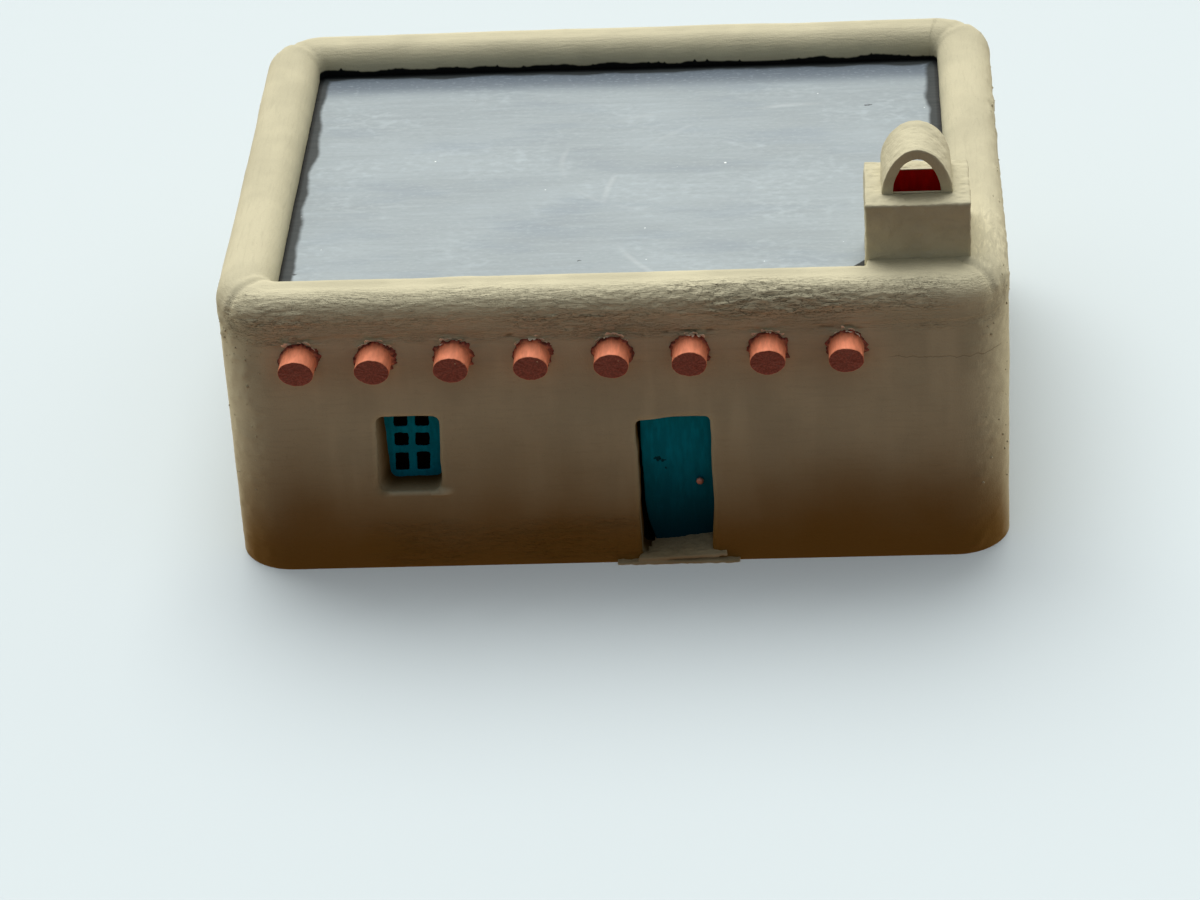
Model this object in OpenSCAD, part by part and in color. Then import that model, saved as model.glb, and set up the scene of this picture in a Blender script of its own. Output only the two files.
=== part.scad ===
// A one-room adobe house at 1:160, made of wall, parapet, roof, viga, window,
// door and chimney pieces. Millimetres. The origin is under the middle of the
// four walls, on the ground. +X is to the right seen from the front, +Y to the
// back, +Z up.

/* [House] */
// Width over the side walls
house_w = 70; // [56:1:90]
// Depth over the front and back walls
house_d = 54; // [44:1:70]
// Height of the parapet's crest
crest_z = 28; // [26:0.1:36]
// Thickness of the walls, and radius of the corners turned about their inner edge
wall_t = 5; // [4:0.1:6.5]
// Thickness of the floor board
floor_t = 2; // [1:0.1:4]

/* [Roof] */
// Drop from the parapet's crest to the roof
roof_drop = 2.7; // [2:0.1:5]
// Thickness of the roof board
roof_t = 1.2; // [0.8:0.1:3]
// Width of the roof board's rim under the parapet
roof_rim = 1.5; // [1:0.1:2.5]
// Radius of the parapet's outer edge
outer_round = 2.2; // [0.8:0.1:3]
// Radius of the parapet's inner edge
inner_round = 2; // [0.6:0.1:3]

/* [Vigas] */
// Diameter of a viga
viga_d = 3.1; // [2:0.1:3.6]
// Spacing of the vigas
viga_pitch = 6.84; // [5.5:0.01:7.6]
// Place of the first viga, from the middle of the house
viga_first_x = -27.3; // [-29:0.1:-24]
// Height of the wall left above the vigas' holes
viga_cover = 0.5; // [0.3:0.1:2]
// How far the top of a viga stands out from the wall
viga_out = 3.1; // [1.5:0.1:6]
// Slope of a viga's end, its foot set back towards the wall
viga_end_slope = 21; // [0:1:30]

/* [Window] */
// Place of the window's middle
window_x = -18.45; // [-24:0.1:-14]
// Width of the window opening
window_w = 5.7; // [5:0.1:8]
// Height of the window's sill
window_sill_z = 8; // [6:0.1:10]
// Height of the window opening
window_h = 8; // [7.5:0.1:10]
// Depth from the wall's face to the window board
window_recess = 2.8; // [1:0.1:2.9]
// Thickness of the window board
window_board_t = 1; // [0.6:0.1:1]
// Thickness of the glazing behind the board
glazing_t = 0.4; // [0.2:0.1:0.5]
// Width of one pane
pane_w = 1.15; // [0.8:0.05:1.6]
// Height of one pane
pane_h = 1.35; // [0.8:0.05:1.6]
// Width of the bar between the two columns of panes
pane_bar_w = 0.7; // [0.3:0.1:0.8]
// Height of the bars between the rows of panes
pane_bar_h = 0.8; // [0.3:0.1:0.8]
// Height of the board below the lowest panes
pane_foot = 1.1; // [0.6:0.1:1.6]

/* [Door] */
// Place of the doorway's middle
door_x = 5.3; // [2:0.1:20]
// Width of the doorway
door_w = 6.4; // [5:0.1:9]
// Height of the doorway's head above the ground
door_head_z = 15.1; // [12:0.1:16]
// Depth from the wall's face to the door
door_recess = 2.6; // [1:0.1:3]
// Thickness of the door panel
door_t = 1.4; // [1:0.1:2]
// Height of the threshold at the wall's face
threshold_front_h = 1; // [0.4:0.1:2]
// Height of the threshold where it meets the door
threshold_back_h = 1.6; // [1.3:0.1:3]
// Height of the ledge that the door stands on
door_ledge_h = 1; // [0.4:0.1:1.2]
// Diameter of the knob
knob_d = 0.7; // [0.5:0.05:1]
// Length of the knob in front of the door
knob_l = 0.5; // [0.3:0.1:1.2]
// Diameter of the knob's pin
knob_pin_d = 0.35; // [0.2:0.05:0.4]
// Length of the knob's pin inside the door
knob_pin_l = 1; // [0.5:0.1:1]
// Distance from the knob to the doorway's right jamb
knob_inset = 1.35; // [1:0.1:3]
// Height of the knob
knob_z = 7; // [5:0.1:10]

/* [Chimney] */
// Width of the chimney block
chimney_w = 9.2; // [8:0.1:12]
// Depth of the chimney block
chimney_d = 8.4; // [8:0.1:12]
// Height of the chimney block above the parapet's crest
chimney_rise = 5.3; // [4:0.1:10]
// How far the block laps over the right parapet
chimney_lap_x = 1.7; // [0:0.1:2.5]
// How far the block laps over the front parapet
chimney_lap_y = 0.3; // [0:0.1:1]
// Width of the flue inside its lining
flue_w = 4.3; // [3:0.1:4.5]
// Depth of the flue inside its lining, front to back
flue_d = 4.1; // [3:0.1:4.5]
// Height of the flue's inside
flue_h = 4; // [2:0.1:5]
// Thickness of the flue's lining
flue_lining_t = 0.3; // [0.2:0.05:0.5]
// Distance from the block's front to the flue
flue_set_back = 2.5; // [2.4:0.1:3]
// Width of the hood over the flue
hood_w = 6.2; // [5:0.1:7.5]
// Height of the hood
hood_h = 4.3; // [3:0.1:7]
// Length of the hood, front to back
hood_l = 5.6; // [4:0.1:5.8]
// Thickness of the hood
hood_t = 0.9; // [0.5:0.1:1.2]
// Distance from the block's front to the hood
hood_set_back = 2; // [0.5:0.1:2]
// Roundness of the hood's shoulders, 1 is a parabola and 2 an ellipse
hood_curve = 1.4; // [1:0.1:2]

/* [Fits] */
// Clearance round a board or a lining that is set into an opening
board_gap = 0.05; // [0.02:0.01:0.1]
// Clearance round a viga or a pin in its hole
pin_gap = 0.05; // [0.02:0.01:0.1]

/* [Hidden] */
// Each viga is a node of its own
viga_count = 8;
VIGA_NAMES = [for (i = [1 : viga_count]) str("viga_", i)];
$fn = 64;

// Margin by which a cut passes a face
past = 1;
inner_x = house_w / 2 - wall_t;
inner_y = house_d / 2 - wall_t;
front_y = -house_d / 2;
roof_z = crest_z - roof_drop;
wall_h = roof_z - roof_t;
viga_z = wall_h - viga_cover - pin_gap - viga_d / 2;
// Each rounded edge keeps to its half of the parapet, and the inner one to its height
least_flat = 0.1;
outer_edge = min(outer_round, wall_t / 2 - least_flat);
inner_edge = min(inner_round, wall_t / 2 - least_flat, roof_drop - least_flat);
pane_columns = 2;
pane_rows = 3;
chimney_right = inner_x + chimney_lap_x;
chimney_left = chimney_right - chimney_w;
chimney_front = -inner_y - chimney_lap_y;
chimney_back = chimney_front + chimney_d;
chimney_top = crest_z + chimney_rise;
chimney_mid_x = (chimney_left + chimney_right) / 2;
flue_hole_w = flue_w + 2 * (flue_lining_t + board_gap);
flue_hole_d = flue_d + 2 * (flue_lining_t + board_gap);
flue_floor_z = chimney_top - flue_h;
flue_mid_y = chimney_front + flue_set_back + flue_d / 2;
hood_steps = 20;

wall_colour = [0.55, 0.50, 0.40];
roof_colour = [0.42, 0.48, 0.52];
viga_colour = [0.62, 0.32, 0.25];
teal_colour = [0.04, 0.30, 0.34];
glass_colour = [0.02, 0.02, 0.03];
knob_colour = [0.72, 0.45, 0.38];
flue_colour = [0.35, 0.03, 0.02];

// A box given by its lowest and highest corners
module span_box(low, high) {
    translate(low) cube(high - low);
}

// A rectangle centred on the origin, with rounded corners, lying on z = 0
module rounded_board(size_x, size_y, thickness, radius) {
    span_box([-size_x / 2 + radius, -size_y / 2, 0], [size_x / 2 - radius, size_y / 2, thickness]);
    span_box([-size_x / 2, -size_y / 2 + radius, 0], [size_x / 2, size_y / 2 - radius, thickness]);
    for (x = [-1, 1], y = [-1, 1])
        translate([x * (size_x / 2 - radius), y * (size_y / 2 - radius), 0])
            cylinder(r = radius, h = thickness);
}

// The floor fits inside the four walls
module floor() {
    color("tan")
    span_box(
        [-inner_x + board_gap, -inner_y + board_gap, 0],
        [inner_x - board_gap, inner_y - board_gap, floor_t]
    );
}

// The front or back wall with its two turned corners, drawn on the +Y side
module cross_wall() {
    span_box([-inner_x, inner_y, 0], [inner_x, inner_y + wall_t, wall_h]);
    for (side = [-1, 1])
        intersection() {
            translate([side * inner_x, inner_y, 0]) cylinder(r = wall_t, h = wall_h);
            span_box(
                [side < 0 ? -inner_x - wall_t : inner_x, inner_y, 0],
                [side < 0 ? -inner_x : inner_x + wall_t, inner_y + wall_t, wall_h]
            );
        }
}

module front_wall() {
    color(wall_colour)
    difference() {
        mirror([0, 1, 0]) cross_wall();
        window_cut();
        door_cut();
        for (i = [0 : viga_count - 1])
            viga_rod(i, viga_d + 2 * pin_gap, front_y - past, -inner_y + past);
    }
}

module back_wall() {
    color(wall_colour) cross_wall();
}

// A side wall stands between the front and back walls
module side_wall() {
    span_box([inner_x, -inner_y, 0], [inner_x + wall_t, inner_y, wall_h]);
}

module left_wall() {
    color(wall_colour) mirror([1, 0, 0]) side_wall();
}

module right_wall() {
    color(wall_colour) side_wall();
}

// A quarter of a disc with its centre at the origin, on the +X +Y side or mirrored
module quarter_disc(radius, side) {
    intersection() {
        circle(r = radius);
        translate([side < 0 ? -radius : 0, 0]) square(radius);
    }
}

// The parapet's section: x is the distance from its inner face, y is the height.
// Its foot is notched over the roof board's rim.
module parapet_section(edge_round) {
    flat_w = wall_t - edge_round - outer_edge;
    translate([edge_round, roof_z]) square([flat_w, roof_drop]);
    translate([roof_rim, wall_h]) square([wall_t - roof_rim, roof_t]);
    if (edge_round > 0) {
        translate([0, roof_z]) square([edge_round, roof_drop - edge_round]);
        translate([edge_round, crest_z - edge_round]) quarter_disc(edge_round, -1);
    }
    translate([wall_t - outer_edge, roof_z]) square([outer_edge, roof_drop - outer_edge]);
    translate([wall_t - outer_edge, crest_z - outer_edge]) quarter_disc(outer_edge, 1);
}

// A straight run of parapet along +X from the origin, outside towards -Y
module parapet_run(length, edge_round) {
    rotate([90, 0, 90]) linear_extrude(length) mirror([1, 0]) parapet_section(edge_round);
}

// A corner turned through a quarter about the parapet's inner edge, from -Y to +X
module parapet_corner(edge_round) {
    rotate([0, 0, -90]) rotate_extrude(angle = 90) parapet_section(edge_round);
}

// The front parapet keeps a square inner edge where the chimney stands against it
module front_parapet() {
    color(wall_colour) {
        translate([-inner_x, -inner_y, 0])
            parapet_run(chimney_left + inner_x, inner_edge);
        translate([chimney_left, -inner_y, 0])
            parapet_run(inner_x - chimney_left, 0);
        translate([inner_x, -inner_y, 0]) parapet_corner(0);
        translate([-inner_x, -inner_y, 0]) mirror([1, 0, 0]) parapet_corner(inner_edge);
    }
}

module back_parapet() {
    color(wall_colour) mirror([0, 1, 0]) {
        translate([-inner_x, -inner_y, 0]) parapet_run(2 * inner_x, inner_edge);
        for (side = [0, 1])
            mirror([side, 0, 0]) translate([inner_x, -inner_y, 0]) parapet_corner(inner_edge);
    }
}

module left_parapet() {
    color(wall_colour)
    translate([-inner_x, inner_y, 0]) rotate([0, 0, -90]) parapet_run(2 * inner_y, inner_edge);
}

// The right parapet keeps a square inner edge where the chimney laps over it
module right_parapet() {
    color(wall_colour) {
        translate([inner_x, -inner_y, 0])
            rotate([0, 0, 90]) parapet_run(chimney_back + inner_y, 0);
        translate([inner_x, chimney_back, 0])
            rotate([0, 0, 90]) parapet_run(inner_y - chimney_back, inner_edge);
    }
}

// The roof board's rim lies on the walls, in the notch under the parapet
module roof_board() {
    color(roof_colour)
    translate([0, 0, wall_h])
        rounded_board(
            2 * (inner_x + roof_rim - board_gap),
            2 * (inner_y + roof_rim - board_gap),
            roof_t,
            roof_rim - board_gap
        );
}

// A rod on the axis of viga i, counted from 0 at the left
module viga_rod(i, diameter, start_y, end_y) {
    translate([viga_first_x + i * viga_pitch, start_y, viga_z])
        rotate([-90, 0, 0]) cylinder(d = diameter, h = end_y - start_y);
}

// A viga reaches through the front wall. Its end slopes back to its foot.
module viga(i) {
    color(viga_colour)
    difference() {
        viga_rod(i, viga_d, front_y - viga_out, -inner_y);
        translate([viga_first_x + i * viga_pitch, front_y - viga_out, viga_z + viga_d / 2])
            rotate([viga_end_slope, 0, 0])
                translate([-viga_d, -2 * viga_d, -2 * viga_d])
                    cube([2 * viga_d, 2 * viga_d, 3 * viga_d]);
    }
}

module window_cut() {
    span_box(
        [window_x - window_w / 2, front_y - past, window_sill_z],
        [window_x + window_w / 2, -inner_y + past, window_sill_z + window_h]
    );
}

module door_cut() {
    span_box(
        [door_x - door_w / 2, front_y - past, -past],
        [door_x + door_w / 2, -inner_y + past, door_head_z]
    );
}

// A board that stands on the window's sill, given by its front and thickness
module window_filling(start_y, thickness) {
    span_box(
        [window_x - window_w / 2 + board_gap, start_y, window_sill_z],
        [window_x + window_w / 2 - board_gap, start_y + thickness, window_sill_z + window_h - board_gap]
    );
}

// The window board is one piece with six panes cut through it
module window_board() {
    pane_step_x = pane_w + pane_bar_w;
    pane_step_z = pane_h + pane_bar_h;
    color(teal_colour)
    difference() {
        window_filling(front_y + window_recess, window_board_t);
        for (column = [0 : pane_columns - 1], row = [0 : pane_rows - 1])
            translate([
                window_x + (column - pane_columns / 2) * pane_step_x + pane_bar_w / 2,
                front_y + window_recess - past,
                window_sill_z + pane_foot + row * pane_step_z
            ])
                cube([pane_w, window_board_t + 2 * past, pane_h]);
    }
}

module window_glazing() {
    color(glass_colour) window_filling(front_y + window_recess + window_board_t, glazing_t);
}

module door_panel() {
    color(teal_colour)
    difference() {
        span_box(
            [door_x - door_w / 2 + board_gap, front_y + door_recess, door_ledge_h],
            [
                door_x + door_w / 2 - board_gap,
                front_y + door_recess + door_t,
                door_head_z - board_gap
            ]
        );
        knob_rod(knob_pin_d + 2 * pin_gap, -past, door_t + past);
    }
}

// A rod on the knob's axis, from one depth behind the door's face to another
module knob_rod(diameter, start, end) {
    translate([door_x + door_w / 2 - knob_inset, front_y + door_recess + start, knob_z])
        rotate([-90, 0, 0]) cylinder(d = diameter, h = end - start);
}

// The knob is a round head on a pin that is pushed into the door
module door_knob() {
    color(knob_colour) {
        knob_rod(knob_d, -knob_l, 0);
        knob_rod(knob_pin_d, -knob_l, knob_pin_l);
    }
}

// The threshold fills the foot of the doorway and rises to the door, which
// stands on the ledge behind it
module threshold() {
    door_y = front_y + door_recess;
    color(wall_colour)
    translate([door_x - door_w / 2 + board_gap, 0, 0])
        rotate([90, 0, 90])
            linear_extrude(door_w - 2 * board_gap)
                polygon([
                    [front_y, 0],
                    [-inner_y, 0],
                    [-inner_y, door_ledge_h],
                    [door_y, door_ledge_h],
                    [door_y, threshold_back_h],
                    [front_y, threshold_front_h]
                ]);
}

// The chimney block stands on the roof board, inside the parapet's front right
// corner, and laps over both parapets above their crest
module chimney_block() {
    color(wall_colour)
    difference() {
        union() {
            span_box(
                [chimney_left, -inner_y, roof_z],
                [inner_x, chimney_back, crest_z]
            );
            span_box(
                [chimney_left, chimney_front, crest_z],
                [chimney_right, chimney_back, chimney_top]
            );
        }
        span_box(
            [
                chimney_mid_x - flue_hole_w / 2,
                flue_mid_y - flue_hole_d / 2,
                flue_floor_z - flue_lining_t
            ],
            [
                chimney_mid_x + flue_hole_w / 2,
                flue_mid_y + flue_hole_d / 2,
                chimney_top + past
            ]
        );
    }
}

// The flue's lining is an open box that stands in the block's hole
module flue_lining() {
    lining_w = flue_w + 2 * flue_lining_t;
    lining_d = flue_d + 2 * flue_lining_t;
    color(flue_colour)
    difference() {
        span_box(
            [
                chimney_mid_x - lining_w / 2,
                flue_mid_y - lining_d / 2,
                flue_floor_z - flue_lining_t
            ],
            [chimney_mid_x + lining_w / 2, flue_mid_y + lining_d / 2, chimney_top]
        );
        span_box(
            [chimney_mid_x - flue_w / 2, flue_mid_y - flue_d / 2, flue_floor_z],
            [chimney_mid_x + flue_w / 2, flue_mid_y + flue_d / 2, chimney_top + past]
        );
    }
}

// Half the width of an arch at a height, from its half width at the foot
function arch_half(foot, rise, height) = foot * sqrt(1 - pow(height / rise, hood_curve));

// The outline of an arch, up its right side and down its left. The steps crowd
// towards the crown, where the curve is flattest.
function arch_points(foot, rise, drop = 0) = concat(
    [[foot, -drop]],
    [for (i = [0 : hood_steps - 1])
        let (height = rise * sin(90 * i / hood_steps))
            [arch_half(foot, rise, height), height]],
    [[0, rise]],
    [for (i = [hood_steps - 1 : -1 : 0])
        let (height = rise * sin(90 * i / hood_steps))
            [-arch_half(foot, rise, height), height]],
    [[-foot, -drop]]
);

// The hood is an arched tunnel, open at both ends, over the flue
module chimney_hood() {
    color(wall_colour)
    translate([chimney_mid_x, chimney_front + hood_set_back + hood_l, chimney_top])
        rotate([90, 0, 0])
            linear_extrude(hood_l)
                difference() {
                    polygon(arch_points(hood_w / 2, hood_h));
                    polygon(arch_points(hood_w / 2 - hood_t, hood_h - hood_t, past));
                }
}

floor();
front_wall();
back_wall();
left_wall();
right_wall();
front_parapet();
back_parapet();
left_parapet();
right_parapet();
roof_board();
viga(0);  // viga_1
viga(1);  // viga_2
viga(2);  // viga_3
viga(3);  // viga_4
viga(4);  // viga_5
viga(5);  // viga_6
viga(6);  // viga_7
viga(7);  // viga_8
window_board();
window_glazing();
door_panel();
door_knob();
threshold();
chimney_block();
flue_lining();
chimney_hood();
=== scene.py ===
import itertools
import math

import bmesh
import bpy
import numpy as np
from bpy.props import FloatProperty, FloatVectorProperty, PointerProperty
from mathutils import Matrix, Vector


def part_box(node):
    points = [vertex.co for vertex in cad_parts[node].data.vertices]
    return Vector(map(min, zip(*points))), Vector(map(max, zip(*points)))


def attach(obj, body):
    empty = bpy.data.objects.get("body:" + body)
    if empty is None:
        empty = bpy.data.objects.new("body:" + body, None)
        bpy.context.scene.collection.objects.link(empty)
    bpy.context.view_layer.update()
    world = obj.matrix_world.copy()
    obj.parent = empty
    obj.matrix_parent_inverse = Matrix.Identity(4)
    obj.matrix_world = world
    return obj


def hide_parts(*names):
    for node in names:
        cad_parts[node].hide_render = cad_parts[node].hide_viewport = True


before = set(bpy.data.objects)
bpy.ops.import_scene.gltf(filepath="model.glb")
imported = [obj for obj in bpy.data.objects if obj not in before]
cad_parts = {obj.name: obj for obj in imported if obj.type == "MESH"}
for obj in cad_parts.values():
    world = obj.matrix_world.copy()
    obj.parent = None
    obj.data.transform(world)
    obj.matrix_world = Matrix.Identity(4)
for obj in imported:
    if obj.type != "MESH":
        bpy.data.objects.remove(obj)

bl_info = {
    "name": "Model adobe house",
    "version": (1, 0, 0),
    "blender": (4, 5, 0),
    "location": "View3D > Sidebar > Adobe house",
    "description": "Weathered paint, plaster and slate for a small adobe house model",
    "category": "Add Mesh",
}

BODY = "root"
MM = 0.001
FULL_TURN = 2 * math.pi
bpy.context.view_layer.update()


def box_mm(node):
    """A CAD node's lowest and highest corners, in millimetres."""
    low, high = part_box(node)
    return np.array(low) / MM, np.array(high) / MM


# Places that several pieces share, in millimetres. The house stands square on its middle.
VIGAS = sorted(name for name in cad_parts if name.startswith("viga_"))
INNER_X = float(box_mm("right_wall")[0][0])
INNER_Y = float(box_mm("back_wall")[0][1])
FRONT_Y = float(box_mm("front_wall")[0][1])
CREST_Z = float(box_mm("front_parapet")[1][2])
ROOF_Z = float(box_mm("roof_board")[1][2])
VIGA_TOP = float(box_mm(VIGAS[0])[1][2])

# Rub marks on the roof: middle and radius in millimetres, and share.
ROOF_SCUFFS = ((18.0, -6.0, 19.3, 0.16), (4.0, 2.5, 9.5, 0.10))
# Dark nicks: middle and reach in millimetres, on the door from its lower left corner.
ROOF_NICKS = ((23.1, 12.7, 0.32), (-28.7, -17.3, 0.26), (-3.2, -16.3, 0.16))
DOOR_NICKS = ((1.3, 8.35, 0.30), (1.7, 8.2, 0.22), (2.0, 7.3, 0.20))
# How far each viga has drifted along the wall, in millimetres.
VIGA_DRIFTS = (-0.25, -0.35, -0.28, -0.15, 0.0, 0.0, 0.0, 0.0)


# ---------------------------------------------------------------- properties


def length(name, default, description):
    """A size in metres, shown in the scene's own unit."""
    return FloatProperty(name=name, description=description, default=default, unit="LENGTH", precision=5)


def angle(name, default, description):
    """An angle in radians, shown in degrees."""
    return FloatProperty(name=name, description=description, default=default, subtype="ANGLE")


def number(name, default, description):
    return FloatProperty(name=name, description=description, default=default)


def colour(name, default, description):
    """A paint colour as linear red, green and blue."""
    return FloatVectorProperty(
        name=name, description=description, default=default, subtype="COLOR", min=0, max=2
    )


class WallSettings(bpy.types.PropertyGroup):
    front_step: length("Front step", 0.00025, "Mesh spacing along the front")
    side_step: length("Side step", 0.00074, "Mesh spacing along the left side")
    row_step: length("Row step", 0.00032, "Mesh spacing up the plain part of the walls")
    fine_step: length("Fine step", 0.000125, "Mesh spacing where the paint is wrinkled")
    outer_round: length("Outer edge", 0.0022, "Radius of the parapet's outer edge")
    inner_round: length("Inner edge", 0.002, "Radius of the parapet's inner edge")
    inner_corner: length("Inner corner", 0.0008, "Radius of the parapet's inner corners")
    arris: length("Arris", 0.00032, "Rounding round the window and doorway")
    wobble: length("Wobble", 0.00009, "How uneven the walls are")
    crack_depth: length("Crack depth", 0.00016, "Depth of the puckers in the paint")
    paint: colour("Wall paint", (0.550, 0.513, 0.370), "Khaki wall paint")
    # This brown is also painted shade: in the cracks and creases, deep in the openings and towards the foot
    # of the front wall.
    grime_and_shade: colour("Grime", (0.20, 0.098, 0.010), "Brown dirt in the cracks and towards the ground")


class RoofSettings(bpy.types.PropertyGroup):
    step: length("Step", 0.0004, "Mesh spacing of the roof")
    border: length("Border", 0.001, "Width of the bare dark border")
    pale: colour("Scuffed slate", (0.325, 0.375, 0.410), "Worn middle of the roof")
    dark: colour("Dark slate", (0.038, 0.048, 0.053), "Border of the roof")


class VigaSettings(bpy.types.PropertyGroup):
    end_slope: angle("End slope", math.radians(21), "Slope of the sawn ends")
    collar: length("Collar", 0.00042, "Width of the ragged filler round each viga")
    stain: colour("Stain", (0.86, 0.28, 0.155), "Terracotta stain on the sides")
    end_grain: colour("End grain", (0.31, 0.074, 0.052), "Stain on the sawn ends")


class OpeningSettings(bpy.types.PropertyGroup):
    window_lean: length("Window lean", 0.0003, "How far the window's head leans to the right")
    window_splay: length("Window splay", 0.0005, "How far the left jamb closes in at the head")
    doorway_pinch: length("Doorway pinch", 0.0003, "How far the right jamb closes in at the foot")
    head_droop: length("Head droop", 0.00035, "How far the doorway's head drops at its left end")
    door_gap: length("Door gap", 0.00035, "Gap at the foot of the door's left edge")
    teal: colour("Teal", (0.001, 0.37, 0.57), "Paint of the door and the window board")
    copper: colour("Copper", (0.90, 0.44, 0.38), "Metal of the knob")
    pane_w: length("Pane width", 0.00122, "Width of one pane")
    pane_h: length("Pane height", 0.00134, "Height of a pane in the upper rows")
    low_pane_h: length("Low pane height", 0.00185, "Height of a pane in the bottom row")
    bar_w: length("Upright bar", 0.00068, "Width of the middle bar")
    bar_h: length("Level bar", 0.0007, "Height of the bars between rows")
    pane_foot: length("Foot rail", 0.0006, "Height of the rail below the panes")
    board_tilt: number("Board tilt", 0.035, "Lean of the panes to the right, as a slope")


class ChimneySettings(bpy.types.PropertyGroup):
    hood_t: length("Hood thickness", 0.00097, "Thickness of the hood")
    front_curve: number("Front curve", 1.7, "1 is a parabola and 2 an ellipse")
    back_curve: number("Back curve", 2.3, "1 is a parabola and 2 an ellipse")
    flue: colour("Flue", (0.66, 0.007, 0.004), "Dark red paint of the flue")


class StudioSettings(bpy.types.PropertyGroup):
    floor: colour("Floor", (0.462, 0.515, 0.545), "Pale studio floor")
    sky_light: colour("Sky light", (0.165, 0.178, 0.182), "Light from above")
    ground_light: colour("Ground light", (0.20, 0.10, 0.05), "Light from below")
    side_light: colour("Side light", (1.25, 1.20, 1.02), "Light from the sides and the back")
    key_from: FloatVectorProperty(
        name="Key from", description="Direction that the main light comes from", default=(-0.12, 0.5, 0.86)
    )
    key_strength: number("Key", 3.2, "Strength of the main light")
    key_spread: angle("Key spread", math.radians(50), "Width of the main light")
    fill_strength: number("Floor fill", 1.5, "Strength of the light on the floor alone")
    lens: number("Lens", 127.03, "Focal length in millimetres")
    distance: length("Distance", 0.40868, "From the aim point to the camera")
    pitch: angle("Pitch", 0.5503, "Downward tilt")
    yaw: angle("Yaw", -0.0705, "Turn to the right")
    roll: angle("Roll", -0.0612, "Roll to the left")
    aim: FloatVectorProperty(
        name="Aim",
        description="Point that the camera looks at",
        default=(-0.003418, 0, -0.004657),
        unit="LENGTH",
    )


SETTINGS = {
    "adobe_walls": WallSettings,
    "adobe_roof": RoofSettings,
    "adobe_vigas": VigaSettings,
    "adobe_openings": OpeningSettings,
    "adobe_chimney": ChimneySettings,
    "adobe_studio": StudioSettings,
}


# ---------------------------------------------------------------- noise


def cell_values(cells, seed):
    """One repeatable value from 0 to 1 for each whole-number cell."""
    cells = cells.astype(np.int64).astype(np.uint64)
    primes = np.array([73856093, 19349663, 83492791], np.uint64)
    mixed = cells * primes
    key = mixed[:, 0] ^ mixed[:, 1] ^ mixed[:, 2] ^ np.uint64(seed * 2654435761 + 97)
    for shift in (15, 13, 16):
        key = (key ^ (key >> np.uint64(shift))) * np.uint64(0x2C1B3C6D)
        key &= np.uint64(0xFFFFFFFF)
    return (key >> np.uint64(8)).astype(float) / 0xFFFFFF


def noise(points, size, seed=0):
    """Smooth values from -1 to 1 over points, with features of the given size.

    size is one length or one for each axis, in the points' own unit."""
    scaled = np.asarray(points, float) / np.asarray(size, float)
    if scaled.shape[1] == 2:
        scaled = np.column_stack([scaled, np.zeros(len(scaled))])
    cell = np.floor(scaled)
    part = scaled - cell
    fade = part * part * part * (part * (part * 6 - 15) + 10)
    total = np.zeros(len(scaled))
    for corner in itertools.product((0, 1), repeat=3):
        weight = np.prod(np.where(corner, fade, 1 - fade), axis=1)
        total += weight * cell_values(cell + corner, seed)
    return total * 2 - 1


def flat_noise(u, v, seed):
    """Noise over two coordinates that are already divided by the size of its features."""
    return noise(np.column_stack([u, v]), 1.0, seed)


def layered(points, size, seed=0, layers=3):
    """Noise with finer and weaker layers added."""
    size = np.asarray(size, float)
    total = sum(noise(points, size / 2**i, seed + i) / 2**i for i in range(layers))
    return total / (2 - 2 ** (1 - layers))


def ramp(value, low, high):
    """0 below low, 1 above high, and smooth between."""
    part = np.clip((value - low) / (high - low), 0, 1)
    return part * part * (3 - 2 * part)


def band(value, low, high, soft):
    """1 between low and high, fading to 0 over soft."""
    return ramp(value, low - soft, low) * (1 - ramp(value, high, high + soft))


# ---------------------------------------------------------------- meshes


def build_mesh(name, points, faces, materials, attributes=None, face_slots=None):
    """A smooth object from points in millimetres."""
    mesh = bpy.data.meshes.new(name)
    mesh.from_pydata((np.asarray(points) * MM).tolist(), [], faces)
    mesh.polygons.foreach_set("use_smooth", [True] * len(mesh.polygons))
    for material in materials:
        mesh.materials.append(material)
    if face_slots is not None:
        mesh.polygons.foreach_set("material_index", face_slots)
    for key, values in (attributes or {}).items():
        values = np.asarray(values, float)
        wide = values.ndim == 2
        layer = mesh.attributes.new(key, "FLOAT_VECTOR" if wide else "FLOAT", "POINT")
        layer.data.foreach_set("vector" if wide else "value", values.ravel())
    mesh.update()
    piece = bpy.data.objects.new(name, mesh)
    bpy.context.scene.collection.objects.link(piece)
    return piece


def place(piece, slot, *nodes):
    """Fixes a piece to the house, in the place of its CAD nodes."""
    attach(piece, BODY)
    if nodes:
        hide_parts(*nodes)
    return piece


def refinish(node, material):
    """Gives a CAD node that keeps its own shape a new material."""
    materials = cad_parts[node].data.materials
    materials.clear()
    materials.append(material)


def add_box(bm, low, high):
    """A box between two corners, in millimetres."""
    low, high = np.asarray(low, float), np.asarray(high, float)
    centre, size = (low + high) / 2, high - low
    matrix = Matrix.Translation(centre.tolist()) @ Matrix.Diagonal([*size.tolist(), 1])
    bmesh.ops.create_cube(bm, size=1, matrix=matrix)


def add_prism(bm, near, far):
    """A solid between two outlines of as many points, in millimetres."""
    near, far = [[bm.verts.new(point) for point in outline] for outline in (near, far)]
    bm.faces.new(near)
    bm.faces.new(reversed(far))
    for i in range(len(near)):
        j = (i + 1) % len(near)
        bm.faces.new((near[j], near[i], far[i], far[j]))


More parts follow.
